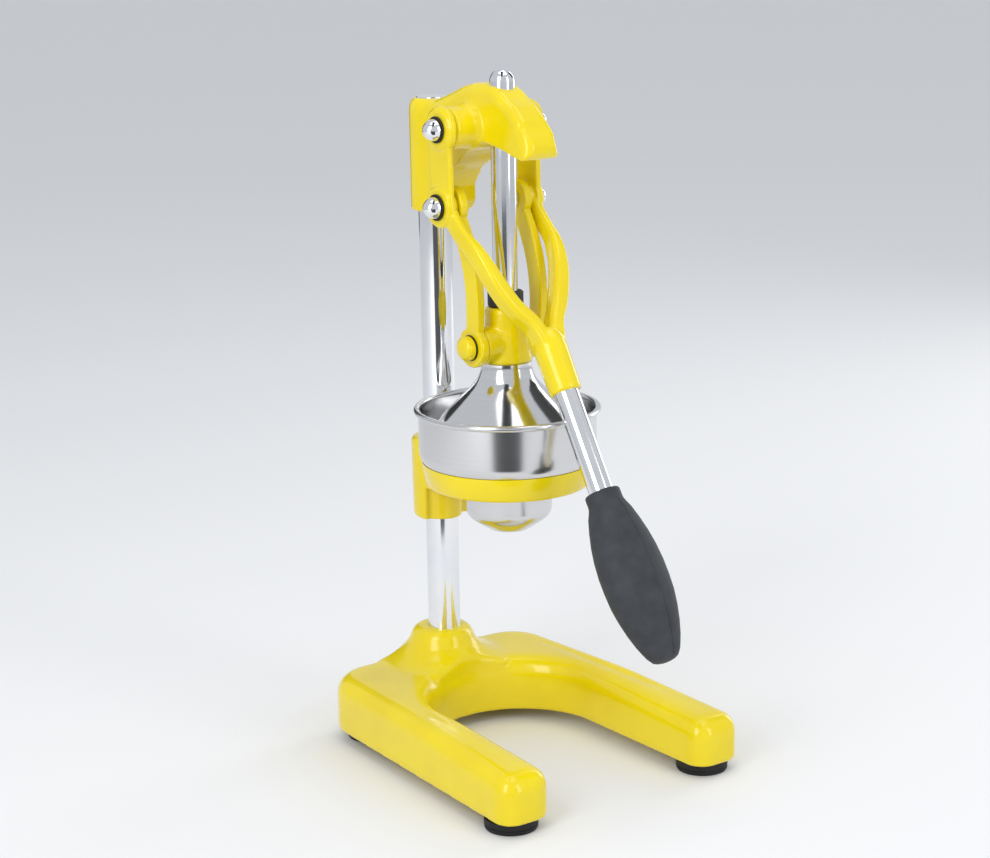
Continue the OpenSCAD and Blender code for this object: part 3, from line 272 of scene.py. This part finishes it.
zinc = plated_metal("zinc_plate", (0.34, 0.35, 0.37), (0.52, 0.53, 0.55))
finish_cad(zinc, "foot_screws", "column_bolt", "column_washer", "handle_pin",
           "trunnion_pin_left", "trunnion_pin_right")

# Column: drawn steel bar, ground and chromed, let into the hump and held by a
# bolt from below. The bowl's ring and the head are clamped on it, and its end
# shows in the top of the head.


def bright_chrome(name, tone, low, high):
    """Chrome with a faint haze and faint grinding lines round the bar"""
    mat, tree, skin, place = bare_finish(name)
    skin.inputs["Metallic"].default_value = 1
    haze = mottle(tree, place, 60, 5)
    colour_by(tree, haze, skin, (0.35, (tone * 0.93, tone * 0.95, tone * 0.98)),
              (0.7, (tone, tone, tone)))
    gloss_by(tree, haze, skin, low, high)
    across = tree.nodes.new("ShaderNodeMapping")
    across.inputs["Scale"].default_value = (20, 20, 1800)
    tree.links.new(place, across.inputs["Vector"])
    emboss_by(tree, mottle(tree, across.outputs["Vector"], 1, 2), skin, 0.05, 0.00005)
    return mat


chrome = bright_chrome("bright_chrome", 0.86, 0.05, 0.13)
column_y = 0.10687
at_column = Matrix.Translation((0, column_y, 0))
bm = bmesh.new()
turned(bm, [(0.005, 0.022), (0.0102, 0.022), (0.011, 0.0228), (0.011, 0.4291), (0.0107, 0.4294),
            (0, 0.4294), (0, 0.052), (0.005, 0.052)], at_column, 128, closed=True)
smooth_piece(bm, "column_bar", chrome, "frame", "column")

# Bowl ring: an enamelled casting clamped on the column. A thick web joins the
# ring, which has a bevelled lower lip, to the sleeve. Below the web the sleeve's
# front is open round an inner tube.
bm = bmesh.new()
rod_y = 0.02987
at_rod = Matrix.Translation((0, rod_y, 0))
turned(bm, [(0, 0.171), (0.0194, 0.171), (0.0196, 0.1995), (0.0180, 0.202), (0, 0.202)],
       at_column, 72)
turned(bm, [(0, 0.1460), (0.0138, 0.1460), (0.0138, 0.172), (0, 0.172)], at_column, 72)
wall = [bm.verts.new((x, 0, z)) for x, z in [(0.0150, 0.1462), (0.0170, 0.1462), (0.0190, 0.1480),
                                             (0.0194, 0.173), (0.0150, 0.173)]]
section = bm.faces.new(wall)
shell_start, shell_sweep = math.radians(-22), math.radians(224)
bmesh.ops.rotate(bm, verts=wall, cent=(0, 0, 0), matrix=Matrix.Rotation(shell_start, 3, "Z"))
before = set(bm.verts)
bmesh.ops.spin(bm, geom=[section], cent=(0, 0, 0), axis=(0, 0, 1), angle=shell_sweep, steps=48)
bmesh.ops.translate(bm, vec=(0, column_y, 0), verts=[v for v in bm.verts if v not in before] + wall)
bmesh.ops.create_cube(bm, size=1, matrix=Matrix.Translation((0, 0.0915, 0.1848))
                      @ Matrix.Diagonal((0.0360, 0.026, 0.0316, 1)))
# above the seat the casting keeps clear of the bowl
seat_z, clear_r = 0.196, 0.0562
for v in bm.verts:
    away = Vector((v.co.x, v.co.y - rod_y))
    if v.co.z > seat_z and away.length < clear_r:
        away.length = clear_r
        v.co.x, v.co.y = away.x, away.y + rod_y
holder = enamelled_casting(bm, "bowl_ring", 0.0009, 8)
bm = bmesh.new()
bm.from_mesh(holder.data)
turned(bm, [(0.0311, 0.1892), (0.0440, 0.1892), (0.0440, 0.1850), (0.0506, 0.1848),
            (0.0526, 0.1854), (0.0537, 0.1870), (0.0552, 0.1950), (0.0560, 0.1998),
            (0.0559, 0.2007), (0.0554, 0.2005), (0.0552, 0.1999), (0.0540, 0.1984),
            (0.0520, 0.1966), (0.0490, 0.1949), (0.0450, 0.1939), (0.0311, 0.1939)],
       at_rod, 144, closed=True)
bmesh.ops.recalc_face_normals(bm, faces=bm.faces)
bm.to_mesh(holder.data)
bm.free()
holder.data.shade_smooth()
holder.data.set_sharp_from_angle(angle=math.radians(50))
holder.data.materials.append(enamel)
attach(holder, "frame")
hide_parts("cup_holder")

# Set screws: blackened socket screws in the backs of the sleeve and the head's
# barrel. They clamp both castings to the column.
black_oxide = plated_metal("black_oxide", (0.012, 0.012, 0.013), (0.03, 0.03, 0.032))
finish_cad(black_oxide, "holder_set_screws", "head_set_screws")

# Bowl: spun stainless sheet with a rolled bead round its rim and a smaller cup
# sunk in its middle, with the juice hole at the bottom. It is brushed on the
# lathe, as the strainer inside it is.


def lathe_brushed(name, tone, low, high, lines_a_metre):
    """Sheet metal with fine rings round the rod's axis"""
    mat, tree, skin, place = bare_finish(name)
    skin.inputs["Metallic"].default_value = 1
    skin.inputs["Anisotropic"].default_value = 0.5
    centre = tree.nodes.new("ShaderNodeMapping")
    centre.inputs["Location"].default_value = (0, -rod_y, 0)
    tree.links.new(place, centre.inputs["Vector"])
    split = tree.nodes.new("ShaderNodeSeparateXYZ")
    tree.links.new(centre.outputs["Vector"], split.inputs["Vector"])
    flat = tree.nodes.new("ShaderNodeCombineXYZ")
    tree.links.new(split.outputs["X"], flat.inputs["X"])
    tree.links.new(split.outputs["Y"], flat.inputs["Y"])
    radius = tree.nodes.new("ShaderNodeVectorMath")
    radius.operation = "LENGTH"
    tree.links.new(flat.outputs["Vector"], radius.inputs[0])
    # only the radius and the height change the noise
    rings = tree.nodes.new("ShaderNodeCombineXYZ")
    tree.links.new(radius.outputs["Value"], rings.inputs["X"])
    tree.links.new(split.outputs["Z"], rings.inputs["Y"])
    lines = mottle(tree, rings.outputs["Vector"], lines_a_metre, 4, 0.7)
    colour_by(tree, lines, skin, (0.3, (tone * 0.86, tone * 0.86, tone * 0.87)),
              (0.7, (tone, tone, tone)))
    gloss_by(tree, lines, skin, low, high)
    emboss_by(tree, lines, skin, 0.12, 0.00004)
    return mat


satin = lathe_brushed("spun_stainless", 0.72, 0.13, 0.24, 2600)
bm = bmesh.new()
# the outside from the juice hole up, the rolled bead, and the inside back down
cup = [(0.0050, 0.1540), (0.0105, 0.1540), (0.0135, 0.1547), (0.0165, 0.1565), (0.0205, 0.1592),
       (0.0240, 0.1617), (0.0262, 0.1637), (0.0277, 0.1661), (0.0283, 0.1690)]
corner_r, corner_z, sheet = 0.0436, 0.208, 0.001
bead_at_r, bead_at_z, bead_r = 0.0586, 0.2342, 0.0020
profile = cup + [(0.0283, 0.1925), (0.0288, 0.1936), (0.0300, 0.1940), (corner_r, 0.1940)]
for step in range(1, 10):
    turn = math.radians(-90 + 10 * step)
    profile.append((corner_r + 0.014 * math.cos(turn), corner_z + 0.014 * math.sin(turn)))
for step in range(0, 15):
    turn = math.radians(-120 + 285 * step / 14)
    profile.append((bead_at_r + bead_r * math.cos(turn), bead_at_z + bead_r * math.sin(turn)))
profile.append((0.0566, 0.2328))
for step in range(0, 10):
    turn = math.radians(-10 * step)
    profile.append((corner_r + (0.014 - sheet) * math.cos(turn),
                    corner_z + (0.014 - sheet) * math.sin(turn)))
profile += [(0.0290, 0.1950), (0.0278, 0.1945), (0.0273, 0.1930)]
profile += [(r - sheet * (r > 0.006), z + 0.0006 + 0.0004 * (r < 0.0277)) for r, z in reversed(cup)]
turned(bm, profile, at_rod, 144, closed=True)
smooth_piece(bm, "spun_bowl", satin, "frame", "juice_bowl")
finish_cad(satin, "strainer_cone")

# Head: one enamelled casting, a barrel clamped on the column and a hood that
# reaches over the rod and ends in a blunt beak. A cross boss carries the
# lever's pivots.
bm = bmesh.new()
turned(bm, [(0, 0.3552), (0.0148, 0.3552), (0.0157, 0.3560), (0.0157, 0.4205), (0.0154, 0.4232),
            (0.0147, 0.4256), (0.0136, 0.4276), (0.0120, 0.4288), (0, 0.4290)], at_column, 72)
hood_side = [
    (0.1069, 0.4282), (0.0904, 0.4290), (0.0813, 0.4318), (0.0700, 0.4358), (0.0589, 0.4399),
    (0.0480, 0.4424), (0.0378, 0.4428), (0.0267, 0.4412), (0.0195, 0.4380), (0.0146, 0.4346),
    (0.0063, 0.4302), (0.0010, 0.4257), (-0.0025, 0.4222), (-0.0056, 0.4163), (-0.0101, 0.4118),
    (-0.0125, 0.4070), (-0.0124, 0.4018), (-0.0091, 0.3985), (-0.0053, 0.3979), (0.0029, 0.3999),
    (0.0101, 0.4021), (0.0174, 0.4036), (0.0248, 0.4051), (0.0344, 0.4062), (0.0474, 0.4026),
    (0.0567, 0.3956), (0.0622, 0.3900), (0.0700, 0.3848), (0.0757, 0.3784), (0.0789, 0.3726),
    (0.0789, 0.3626), (0.0819, 0.3581), (0.0868, 0.3552), (0.1069, 0.3552)]
hood_half_w = 0.0135
cheek = bm.faces.new([bm.verts.new((-hood_half_w, y, z)) for y, z in hood_side])
thicken(bm, [cheek], (2 * hood_half_w, 0, 0))
crown = []
for e in bm.edges:
    a, b = (v.co for v in e.verts)
    on_cheek = abs(a.x - b.x) < 1e-6 and abs(abs(a.x) - hood_half_w) < 1e-5
    # the beak's underside keeps its sharp edges
    low = 0.4015 + 0.012 * (min(a.y, b.y) > -0.0115)
    if (on_cheek and min(a.y, b.y) < 0.1 and min(a.z, b.z) > low
            and e.calc_length() > 1e-4 and len(e.link_faces) == 2):
        crown.append(e)
bmesh.ops.bevel(bm, geom=crown, offset=0.0052, segments=4, profile=0.5, material=-1,
                affect="EDGES", clamp_overlap=False)
# the cheeks lean in towards the crown, as a casting's draft
crown_line = sorted(hood_side[:16])
draft, draft_depth = 0.15, 0.015
for v in bm.verts:
    for (y0, z0), (y1, z1) in zip(crown_line[:-1], crown_line[1:-1]):
        if y0 <= v.co.y < y1:
            depth = z0 + (z1 - z0) * (v.co.y - y0) / (y1 - y0) - v.co.z
            v.co.x *= 1 - draft * min(max(1 - depth / draft_depth, 0), 1)
boss = [(0, 0.0314), (0.0130, 0.0314), (0.0137, 0.0307), (0.0137, 0.0190), (0.0140, 0.0170),
        (0.0146, 0.0154), (0.0152, 0.0140)]
boss += [(r, -x) for r, x in reversed(boss)]
pivot_y, pivot_z = 0.0484, 0.415
crosswise = Matrix.Rotation(math.pi / 2, 4, "Y")
turned(bm, boss, Matrix.Translation((0, pivot_y, pivot_z)) @ crosswise, 72)
head = enamelled_casting(bm, "head_body", 0.0009, 10)
head.data.materials.append(enamel)
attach(head, "frame")
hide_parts("head_casting")

# Bearings: turned bronze bushes, one in the hood for the rod and one in each
# ear of the fork.
bronze = plated_metal("turned_bronze", (0.36, 0.2, 0.07), (0.46, 0.27, 0.1))
finish_cad(bronze, "rod_guide_bush", "fork_bushes")

# Pivot bolts and link pins: turned steel with chromed dome heads, each on a
# thin black nylon washer.
nylon = dull_rubber("black_nylon", (0.01, 0.01, 0.011), (0.022, 0.022, 0.023), 900)


def domed_pins(name, body, node, washer_name, washer_node, y, z, inner):
    """A pair of bolts across the press, from inner outwards, and their washers"""
    pins = bmesh.new()
    rings = bmesh.new()
    for side in (-1, 1):
        out = Matrix.Translation((0, y, z)) @ Matrix.Rotation(side * math.pi / 2, 4, "Y")
        dome = [(0, inner - 0.0010), (0.0062, inner - 0.0010), (0.0065, inner - 0.0007),
                (0.0065, inner), (0.005, inner), (0.005, 0.0393), (0.0066, 0.0393),
                (0.0070, 0.0397)]
        for step in range(1, 13):
            rise = 0.0086 * step / 12
            dome.append((math.sqrt(0.00878 ** 2 - rise ** 2) - 0.00178, 0.0393 + rise))
        dome[-1] = (0, 0.0479)
        turned(pins, dome, out, 64)
        turned(rings, [(0.0051, 0.0378), (0.0081, 0.0378), (0.0084, 0.0381), (0.0084, 0.0389),
                       (0.0081, 0.0392), (0.0051, 0.0392)], out, 64, closed=True)
    smooth_piece(pins, name, chrome, body, node)
    smooth_piece(rings, washer_name, nylon, body, washer_node)


pin_y, pin_z = 0.0499, 0.366
domed_pins("pivot_domes", "frame", "fork_pivot_bolts", "pivot_washers", "fork_pivot_washers",
           pivot_y, pivot_z, 0.0303)
domed_pins("link_domes", "fork", "link_pins", "link_washers", "link_pin_washers",
           pin_y, pin_z, 0.0217)

# Fork: one enamelled casting with two ears, two arms that draw together at a
# crotch and a tapered socket for the handle.


def cross_disc(bm, radius, thick, x, y, z, segments=64):
    """A disc whose axis lies across the press"""
    bmesh.ops.create_cone(bm, cap_ends=True, segments=segments, radius1=radius, radius2=radius,
                          depth=thick, matrix=Matrix.Translation((x, y, z)) @ crosswise)


bm = bmesh.new()
ear_x, ear_thick = 0.034, 0.004
for side in (-1, 1):
    for y, z, r in [(pivot_y, pivot_z, 0.0147), (pin_y, pin_z, 0.0136)]:
        cross_disc(bm, r, ear_thick, side * ear_x, y, z)
        cross_disc(bm, 0.0127, 0.0026, side * 0.0363, y, z)
    bmesh.ops.create_cube(bm, size=1, matrix=Matrix.Translation((side * ear_x, 0.0491, 0.3905))
                          @ Matrix.Rotation(math.radians(-1.75), 4, "X")
                          @ Matrix.Diagonal((ear_thick, 0.0215, 0.049, 1)))
    cross_disc(bm, 0.0105, 0.0046, side * 0.0306, pin_y, pin_z, 48)
# an arm's stations: x, y, z, width and depth, from the lower pin to the socket
arm_stations = [
    (0.0326, 0.0487, 0.3689, 0.0064, 0.0128), (0.0327, 0.0422, 0.3609, 0.0064, 0.0128),
    (0.0326, 0.0339, 0.3522, 0.0062, 0.0128), (0.0320, 0.0262, 0.3457, 0.0062, 0.0128),
    (0.0306, 0.0191, 0.3399, 0.0082, 0.0130), (0.0278, 0.0110, 0.3297, 0.0100, 0.0132),
    (0.0238, 0.0048, 0.3188, 0.0108, 0.0134), (0.0170, -0.0022, 0.3057, 0.0108, 0.0138),
    (0.0084, -0.0096, 0.2948, 0.0098, 0.0146), (0.0050, -0.0152, 0.2845, 0.0100, 0.0150),
    (0.0036, -0.0212, 0.2745, 0.0060, 0.0110)]
with_ends = [arm_stations[0]] + arm_stations + [arm_stations[-1]]
arm_line = []
for i in range(len(arm_stations) - 1):
    for step in range(4):
        t = step / 4
        # a smooth curve from the second to the third of four stations
        arm_line.append([(2 * q + (r - p) * t + (2 * p - 5 * q + 4 * r - s) * t ** 2
                          + (3 * q - p - 3 * r + s) * t ** 3) / 2
                         for p, q, r, s in zip(*with_ends[i:i + 4])])
# the arms' section is a rectangle with round corners
arm_section = []
for step in range(16):
    c, s = math.cos(math.pi * (step + 0.5) / 8), math.sin(math.pi * (step + 0.5) / 8)
    arm_section.append((0.5 * math.copysign(abs(c) ** 0.5, c),
                        0.5 * math.copysign(abs(s) ** 0.5, s)))
for side in (-1, 1):
    start = bmesh.ops.create_circle(bm, cap_ends=True, segments=16, radius=0.01)["verts"]
    face = start[0].link_faces[0]
    for i, (x, y, z, wide, deep) in enumerate(arm_line):
        a, b = arm_line[max(i - 1, 0)], arm_line[min(i + 1, len(arm_line) - 1)]
        along = Vector((side * (b[0] - a[0]), b[1] - a[1], b[2] - a[2])).normalized()
        across_arm = Vector((side, 0, 0)) - along * along.x * side
        across_arm.normalize()
        front = along.cross(across_arm)
        if i:
            grown = bmesh.ops.extrude_face_region(bm, geom=[face])["geom"]
            face = [f for f in grown if isinstance(f, bmesh.types.BMFace)][0]
        for v, (u, w) in zip(face.verts, arm_section):
            v.co = Vector((side * x, y, z)) + across_arm * (u * wide) + front * (w * deep)
        if i == 0:
            bmesh.ops.extrude_face_region(bm, geom=[face], use_keep_orig=True)
handle_place = (Matrix.Translation((0, -0.00933, 0.2934))
                @ Matrix.Rotation(math.radians(180 - 31.3), 4, "X"))
turned(bm, [(0, 0.0010), (0.0045, 0.0014), (0.0076, 0.0030), (0.0094, 0.0058), (0.0104, 0.0100),
            (0.0109, 0.0160), (0.0104, 0.0438), (0.0098, 0.0448), (0, 0.0448)], handle_place, 64)
fork = enamelled_casting(bm, "fork_body", 0.0008, 9)
fork.data.materials.append(enamel)
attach(fork, "fork")
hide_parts("lever_fork")

# Handle tube: a chromed steel tube, pushed into the fork's socket and held
# there by a pin.
bm = bmesh.new()
tube = [(0.0065, 0.013), (0.008, 0.013), (0.008, 0.161), (0.0065, 0.161)]
turned(bm, tube, handle_place, 96, closed=True)
smooth_piece(bm, "handle_bar", chrome, "fork", "handle_tube")

# Grip: one dark grey rubber moulding pushed on the tube. It swells from a
# collar, is flatter from front to back, and has a mould line down its front
# and its back.
grip_rubber = dull_rubber("grip_rubber", (0.030, 0.033, 0.038), (0.046, 0.050, 0.056), 1300)
bm = bmesh.new()
# stations: distance from the collar's top, half width and half depth
stations = [
    (0.0046, 0.0105, 0.0105), (0.0050, 0.0110, 0.0110), (0.0058, 0.0113, 0.0113),
    (0.0104, 0.0113, 0.0113), (0.0122, 0.0115, 0.0114), (0.0146, 0.0124, 0.0121),
    (0.0186, 0.0145, 0.0134), (0.0268, 0.0173, 0.0149), (0.0361, 0.0199, 0.0162),
    (0.0454, 0.0216, 0.0171), (0.0559, 0.0226, 0.0175), (0.0652, 0.0226, 0.0175),
    (0.0757, 0.0220, 0.0172), (0.0850, 0.0204, 0.0161), (0.0944, 0.0180, 0.0145),
    (0.1025, 0.0153, 0.0125), (0.1080, 0.0130, 0.0105), (0.1108, 0.0117, 0.0094),
    (0.1130, 0.0101, 0.0081), (0.1147, 0.0081, 0.0065), (0.1158, 0.0058, 0.0046),
    (0.1164, 0.0031, 0.0025), (0.1165, 0.0012, 0.0010), (0.1165, 0, 0)]
tube_hole = [(0, 0.06), (0.0082, 0.06), (0.0082, 0.0046)]
grip_steps, groove_step, groove_depth = 192, 4, 0.00045
grip_verts = turned(bm, [(w, s) for s, w, t in stations] + tube_hole,
                    Matrix.Identity(4), grip_steps, closed=True)
for v in grip_verts:
    if math.hypot(v.co.x, v.co.y) > 0.0090:
        for (s0, w0, t0), (s1, w1, t1) in zip(stations, stations[1:]):
            if s0 - 1e-6 <= v.co.z <= s1 + 1e-6:
                share = (v.co.z - s0) / (s1 - s0)
                w = w0 + share * (w1 - w0)
                step = round(math.degrees(math.atan2(v.co.x, v.co.y)) % 180 * grip_steps / 360)
                v.co.y *= (t0 + share * (t1 - t0)) / w if w > 1e-6 else 1
                if step == groove_step and 0.011 < v.co.z < 0.1160:
                    v.co.y -= math.copysign(groove_depth, v.co.y)
                break
grip_place = (Matrix.Translation((0, -0.06492, 0.20197))
              @ Matrix.Rotation(math.radians(180 - 33.6), 4, "X"))
bmesh.ops.transform(bm, matrix=grip_place, verts=bm.verts)
smooth_piece(bm, "grip_moulding", grip_rubber, "fork", "grip")

# Links: two enamelled cast bars bowed forward, with round eyes, between the
# fork's lower pins and the crosshead. A cast cap on a dark ring closes each
# lower eye.
cross_z, link_length, link_bow, eye_r = 0.27754, 0.0907, 0.010, 0.0129
link_line = []
for i in range(15):
    share = 0.04 + 0.92 * i / 14
    link_line.append((-link_bow * math.sin(math.pi * share), link_length * share))
for body, hand, side in [("left_link", "left", -1), ("right_link", "right", 1)]:
    bm = bmesh.new()
    for y, z in [(pin_y, pin_z), (rod_y, cross_z)]:
        cross_disc(bm, eye_r, 0.006, side * 0.025, y, z)
    strip = bmesh.ops.create_grid(bm, x_segments=14, y_segments=1, size=0.5)["verts"]
    for v in strip:
        bow, up = link_line[round((v.co.x + 0.5) * 14)]
        v.co = Vector((0, bow + 0.0132 * v.co.y, up))
    bmesh.ops.transform(bm, matrix=Matrix.Translation((side * 0.022, rod_y, cross_z))
                        @ Matrix.Rotation(math.radians(-12.74), 4, "X"), verts=strip)
    thicken(bm, list({f for v in strip for f in v.link_faces}), (side * 0.006, 0, 0))
    link = enamelled_casting(bm, body + "_bar", 0.0007, 10)
    link.data.materials.append(enamel)
    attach(link, body)
    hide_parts("link_" + hand)
    out = Matrix.Translation((0, rod_y, cross_z)) @ Matrix.Rotation(side * math.pi / 2, 4, "Y")
    bm = bmesh.new()
    cap = [(0, 0.029), (0.0074, 0.029), (0.0078, 0.0294), (0.0078, 0.0322)]
    for step in range(1, 11):
        turn = math.radians(90 * step / 10)
        cap.append((0.0078 * math.cos(turn), 0.0322 + 0.0040 * math.sin(turn)))
    turned(bm, cap, out, 64)
    smooth_piece(bm, body + "_cap", enamel, body, "trunnion_cap_" + hand)
    bm = bmesh.new()
    turned(bm, [(0.0061, 0.0281), (0.0081, 0.0281), (0.0083, 0.0283), (0.0083, 0.0288),
                (0.0081, 0.029), (0.0061, 0.029)], out, 64, closed=True)
    smooth_piece(bm, body + "_ring", nylon, body, "trunnion_ring_" + hand)

# Crosshead: enamelled cast barrel with a rim below, pushed on the rod, and a
# cross boss in which the links' lower pins turn.
bm = bmesh.new()
foot_z = 0.2660
turned(bm, [(0, foot_z), (0.0165, foot_z), (0.0170, 0.2665), (0.0170, 0.2690), (0.0166, 0.2705),
            (0.0160, 0.2740), (0.0153, 0.2790), (0.0144, 0.2840), (0.0137, 0.2880),
            (0.0135, 0.2920), (0.0135, 0.2985), (0.0129, 0.3006), (0.0110, 0.3015), (0, 0.3015)],
       at_rod, 72)
cross_disc(bm, 0.0123, 0.0434, 0, rod_y, cross_z)
for v in bm.verts:
    v.co.z = max(v.co.z, foot_z)
crosshead = enamelled_casting(bm, "crosshead_body", 0.0007, 5)
crosshead.data.materials.append(enamel)
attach(crosshead, "ram")
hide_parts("crosshead")

# Rod: a chromed steel bar with a domed top. It is fixed in the crosshead and
# slides in the hood.
bm = bmesh.new()
rod_r, dome_z = 0.008, 0.4440
rod = [(0, 0.2720), (0.0075, 0.2720), (rod_r, 0.2725), (rod_r, 0.4441)]
for step in range(1, 13):
    turn = math.radians(90 * step / 12)
    rod.append((rod_r * math.cos(turn), dome_z + rod_r * math.sin(turn)))
turned(bm, rod, at_rod, 96)
smooth_piece(bm, "press_rod", chrome, "ram", "plunger_rod")

# Stop collar: a dark rubber ring, slipped on the rod above the crosshead. It
# cushions the top of the stroke.
bm = bmesh.new()
turned(bm, [(0.0081, 0.3016), (0.0108, 0.3016), (0.0115, 0.3023), (0.0115, 0.3104),
            (0.0108, 0.3111), (0.0081, 0.3111)], at_rod, 72, closed=True)
collar_rubber = dull_rubber("collar_rubber", (0.022, 0.023, 0.025), (0.04, 0.041, 0.044), 1300)
smooth_piece(bm, "collar_ring", collar_rubber, "ram", "stop_collar")

# Bell: polished stainless sheet, spun to a cone with a straight neck and
# screwed up under the crosshead. It presses the fruit into the bowl.
polished = lathe_brushed("polished_stainless", 0.78, 0.07, 0.14, 3200)
bm = bmesh.new()
turned(bm, [(0.004, 0.2660), (0.0158, 0.2660), (0.0163, 0.2655), (0.0163, 0.2638),
            (0.0165, 0.2617), (0.0170, 0.2593), (0.0179, 0.2566), (0.0192, 0.2540),
            (0.0210, 0.2516), (0.0230, 0.2494), (0.0280, 0.2443), (0.0420, 0.2298),
            (0.0524, 0.2167), (0.0530, 0.2160), (0.0524, 0.2153), (0.0420, 0.2284),
            (0.0280, 0.2428), (0.0224, 0.2483), (0.0200, 0.2510), (0.0181, 0.2535),
            (0.0168, 0.2562), (0.0158, 0.2591), (0.0153, 0.2616), (0.0151, 0.2636),
            (0.0151, 0.2648), (0.004, 0.2648)], at_rod, 144, closed=True)
smooth_piece(bm, "press_cone", polished, "ram", "press_bell")
finish_cad(zinc, "bell_screw", "bell_washer")

# Studio: a pale seamless floor, soft boxes, black cards, a pale sky and the
# camera at the photo's angle. The cards show only as mirrored in the metal.


def staged(bm, name, shade, rough):
    """Makes a floor or card of bm in one matt grey, as no part of the press"""
    mesh = bpy.data.meshes.new(name)
    bm.to_mesh(mesh)
    bm.free()
    mat = bpy.data.materials.new(name)
    mat.use_nodes = True
    skin = mat.node_tree.nodes["Principled BSDF"]
    skin.inputs["Base Color"].default_value = (shade, shade, shade, 1)
    skin.inputs["Roughness"].default_value = rough
    mesh.materials.append(mat)
    board = bpy.data.objects.new(name, mesh)
    bpy.context.scene.collection.objects.link(board)
    return board


bm = bmesh.new()
bmesh.ops.create_grid(bm, x_segments=1, y_segments=1, size=14)
staged(bm, "floor", 0.84, 0.8)


def softbox(name, place, aim, width, height, watts):
    lamp = bpy.data.lights.new(name, "AREA")
    lamp.shape = "RECTANGLE"
    lamp.size = width
    lamp.size_y = height
    lamp.energy = watts
    box = bpy.data.objects.new(name, lamp)
    bpy.context.scene.collection.objects.link(box)
    turn = (Vector(aim) - Vector(place)).to_track_quat("-Z", "Y")
    box.matrix_world = Matrix.Translation(place) @ turn.to_matrix().to_4x4()


middle = (0, 0, 0.25)
softbox("key", (-1.5, -0.6, 1.0), middle, 0.7, 1.5, 13)
softbox("fill", (0.55, -1.9, 0.9), middle, 0.5, 1.5, 7)
softbox("side", (1.5, 0.2, 0.8), middle, 0.5, 1.4, 5)
softbox("top", (0.0, -0.2, 1.9), (0, 0, 0), 1.3, 1.3, 7)

# on the floor in front of the press, overhead, to its right and behind it
for name, corners in [
        ("card_front", [(-0.14, -0.36, 0.002), (-0.34, -0.22, 0.002),
                        (-3.00, -1.99, 0.002), (-1.08, -3.43, 0.002)]),
        ("card_over", [(0.20, 0.05, 1.5), (-0.06, 0.24, 1.5),
                       (-0.80, -0.74, 1.5), (-0.53, -0.93, 1.5)]),
        ("card_right", [(1.02, -0.34, 0.62), (1.02, 0.16, 0.62),
                        (0.86, 0.16, 1.45), (0.86, -0.34, 1.45)]),
        ("card_back", [(-0.10, 1.3, 0.15), (0.45, 1.3, 0.15),
                       (0.45, 1.3, 0.95), (-0.10, 1.3, 0.95)])]:
    bm = bmesh.new()
    bm.faces.new([bm.verts.new(corner) for corner in corners])
    card = staged(bm, name, 0.004, 0.5)
    card.visible_camera = False
    card.visible_diffuse = False
    card.visible_shadow = False

world = bpy.data.worlds.new("studio")
bpy.context.scene.world = world
world.use_nodes = True
sky = world.node_tree.nodes["Background"]
sky.inputs["Color"].default_value = (0.9, 0.93, 0.98, 1)
sky.inputs["Strength"].default_value = 0.72
bpy.context.scene.view_settings.view_transform = "Standard"

lens = bpy.data.cameras.new("camera")
lens.sensor_width = 36
lens.lens = 85.1
camera = bpy.data.objects.new("camera", lens)
bpy.context.scene.collection.objects.link(camera)
swing, dip, roll = math.radians(-35.888), math.radians(90 - 13.735), math.radians(-0.977)
camera.matrix_world = (Matrix.Translation((-0.8688, -1.1570, 0.5799))
                       @ Matrix.Rotation(swing, 4, "Z") @ Matrix.Rotation(dip, 4, "X")
                       @ Matrix.Rotation(roll, 4, "Z"))
bpy.context.scene.camera = camera
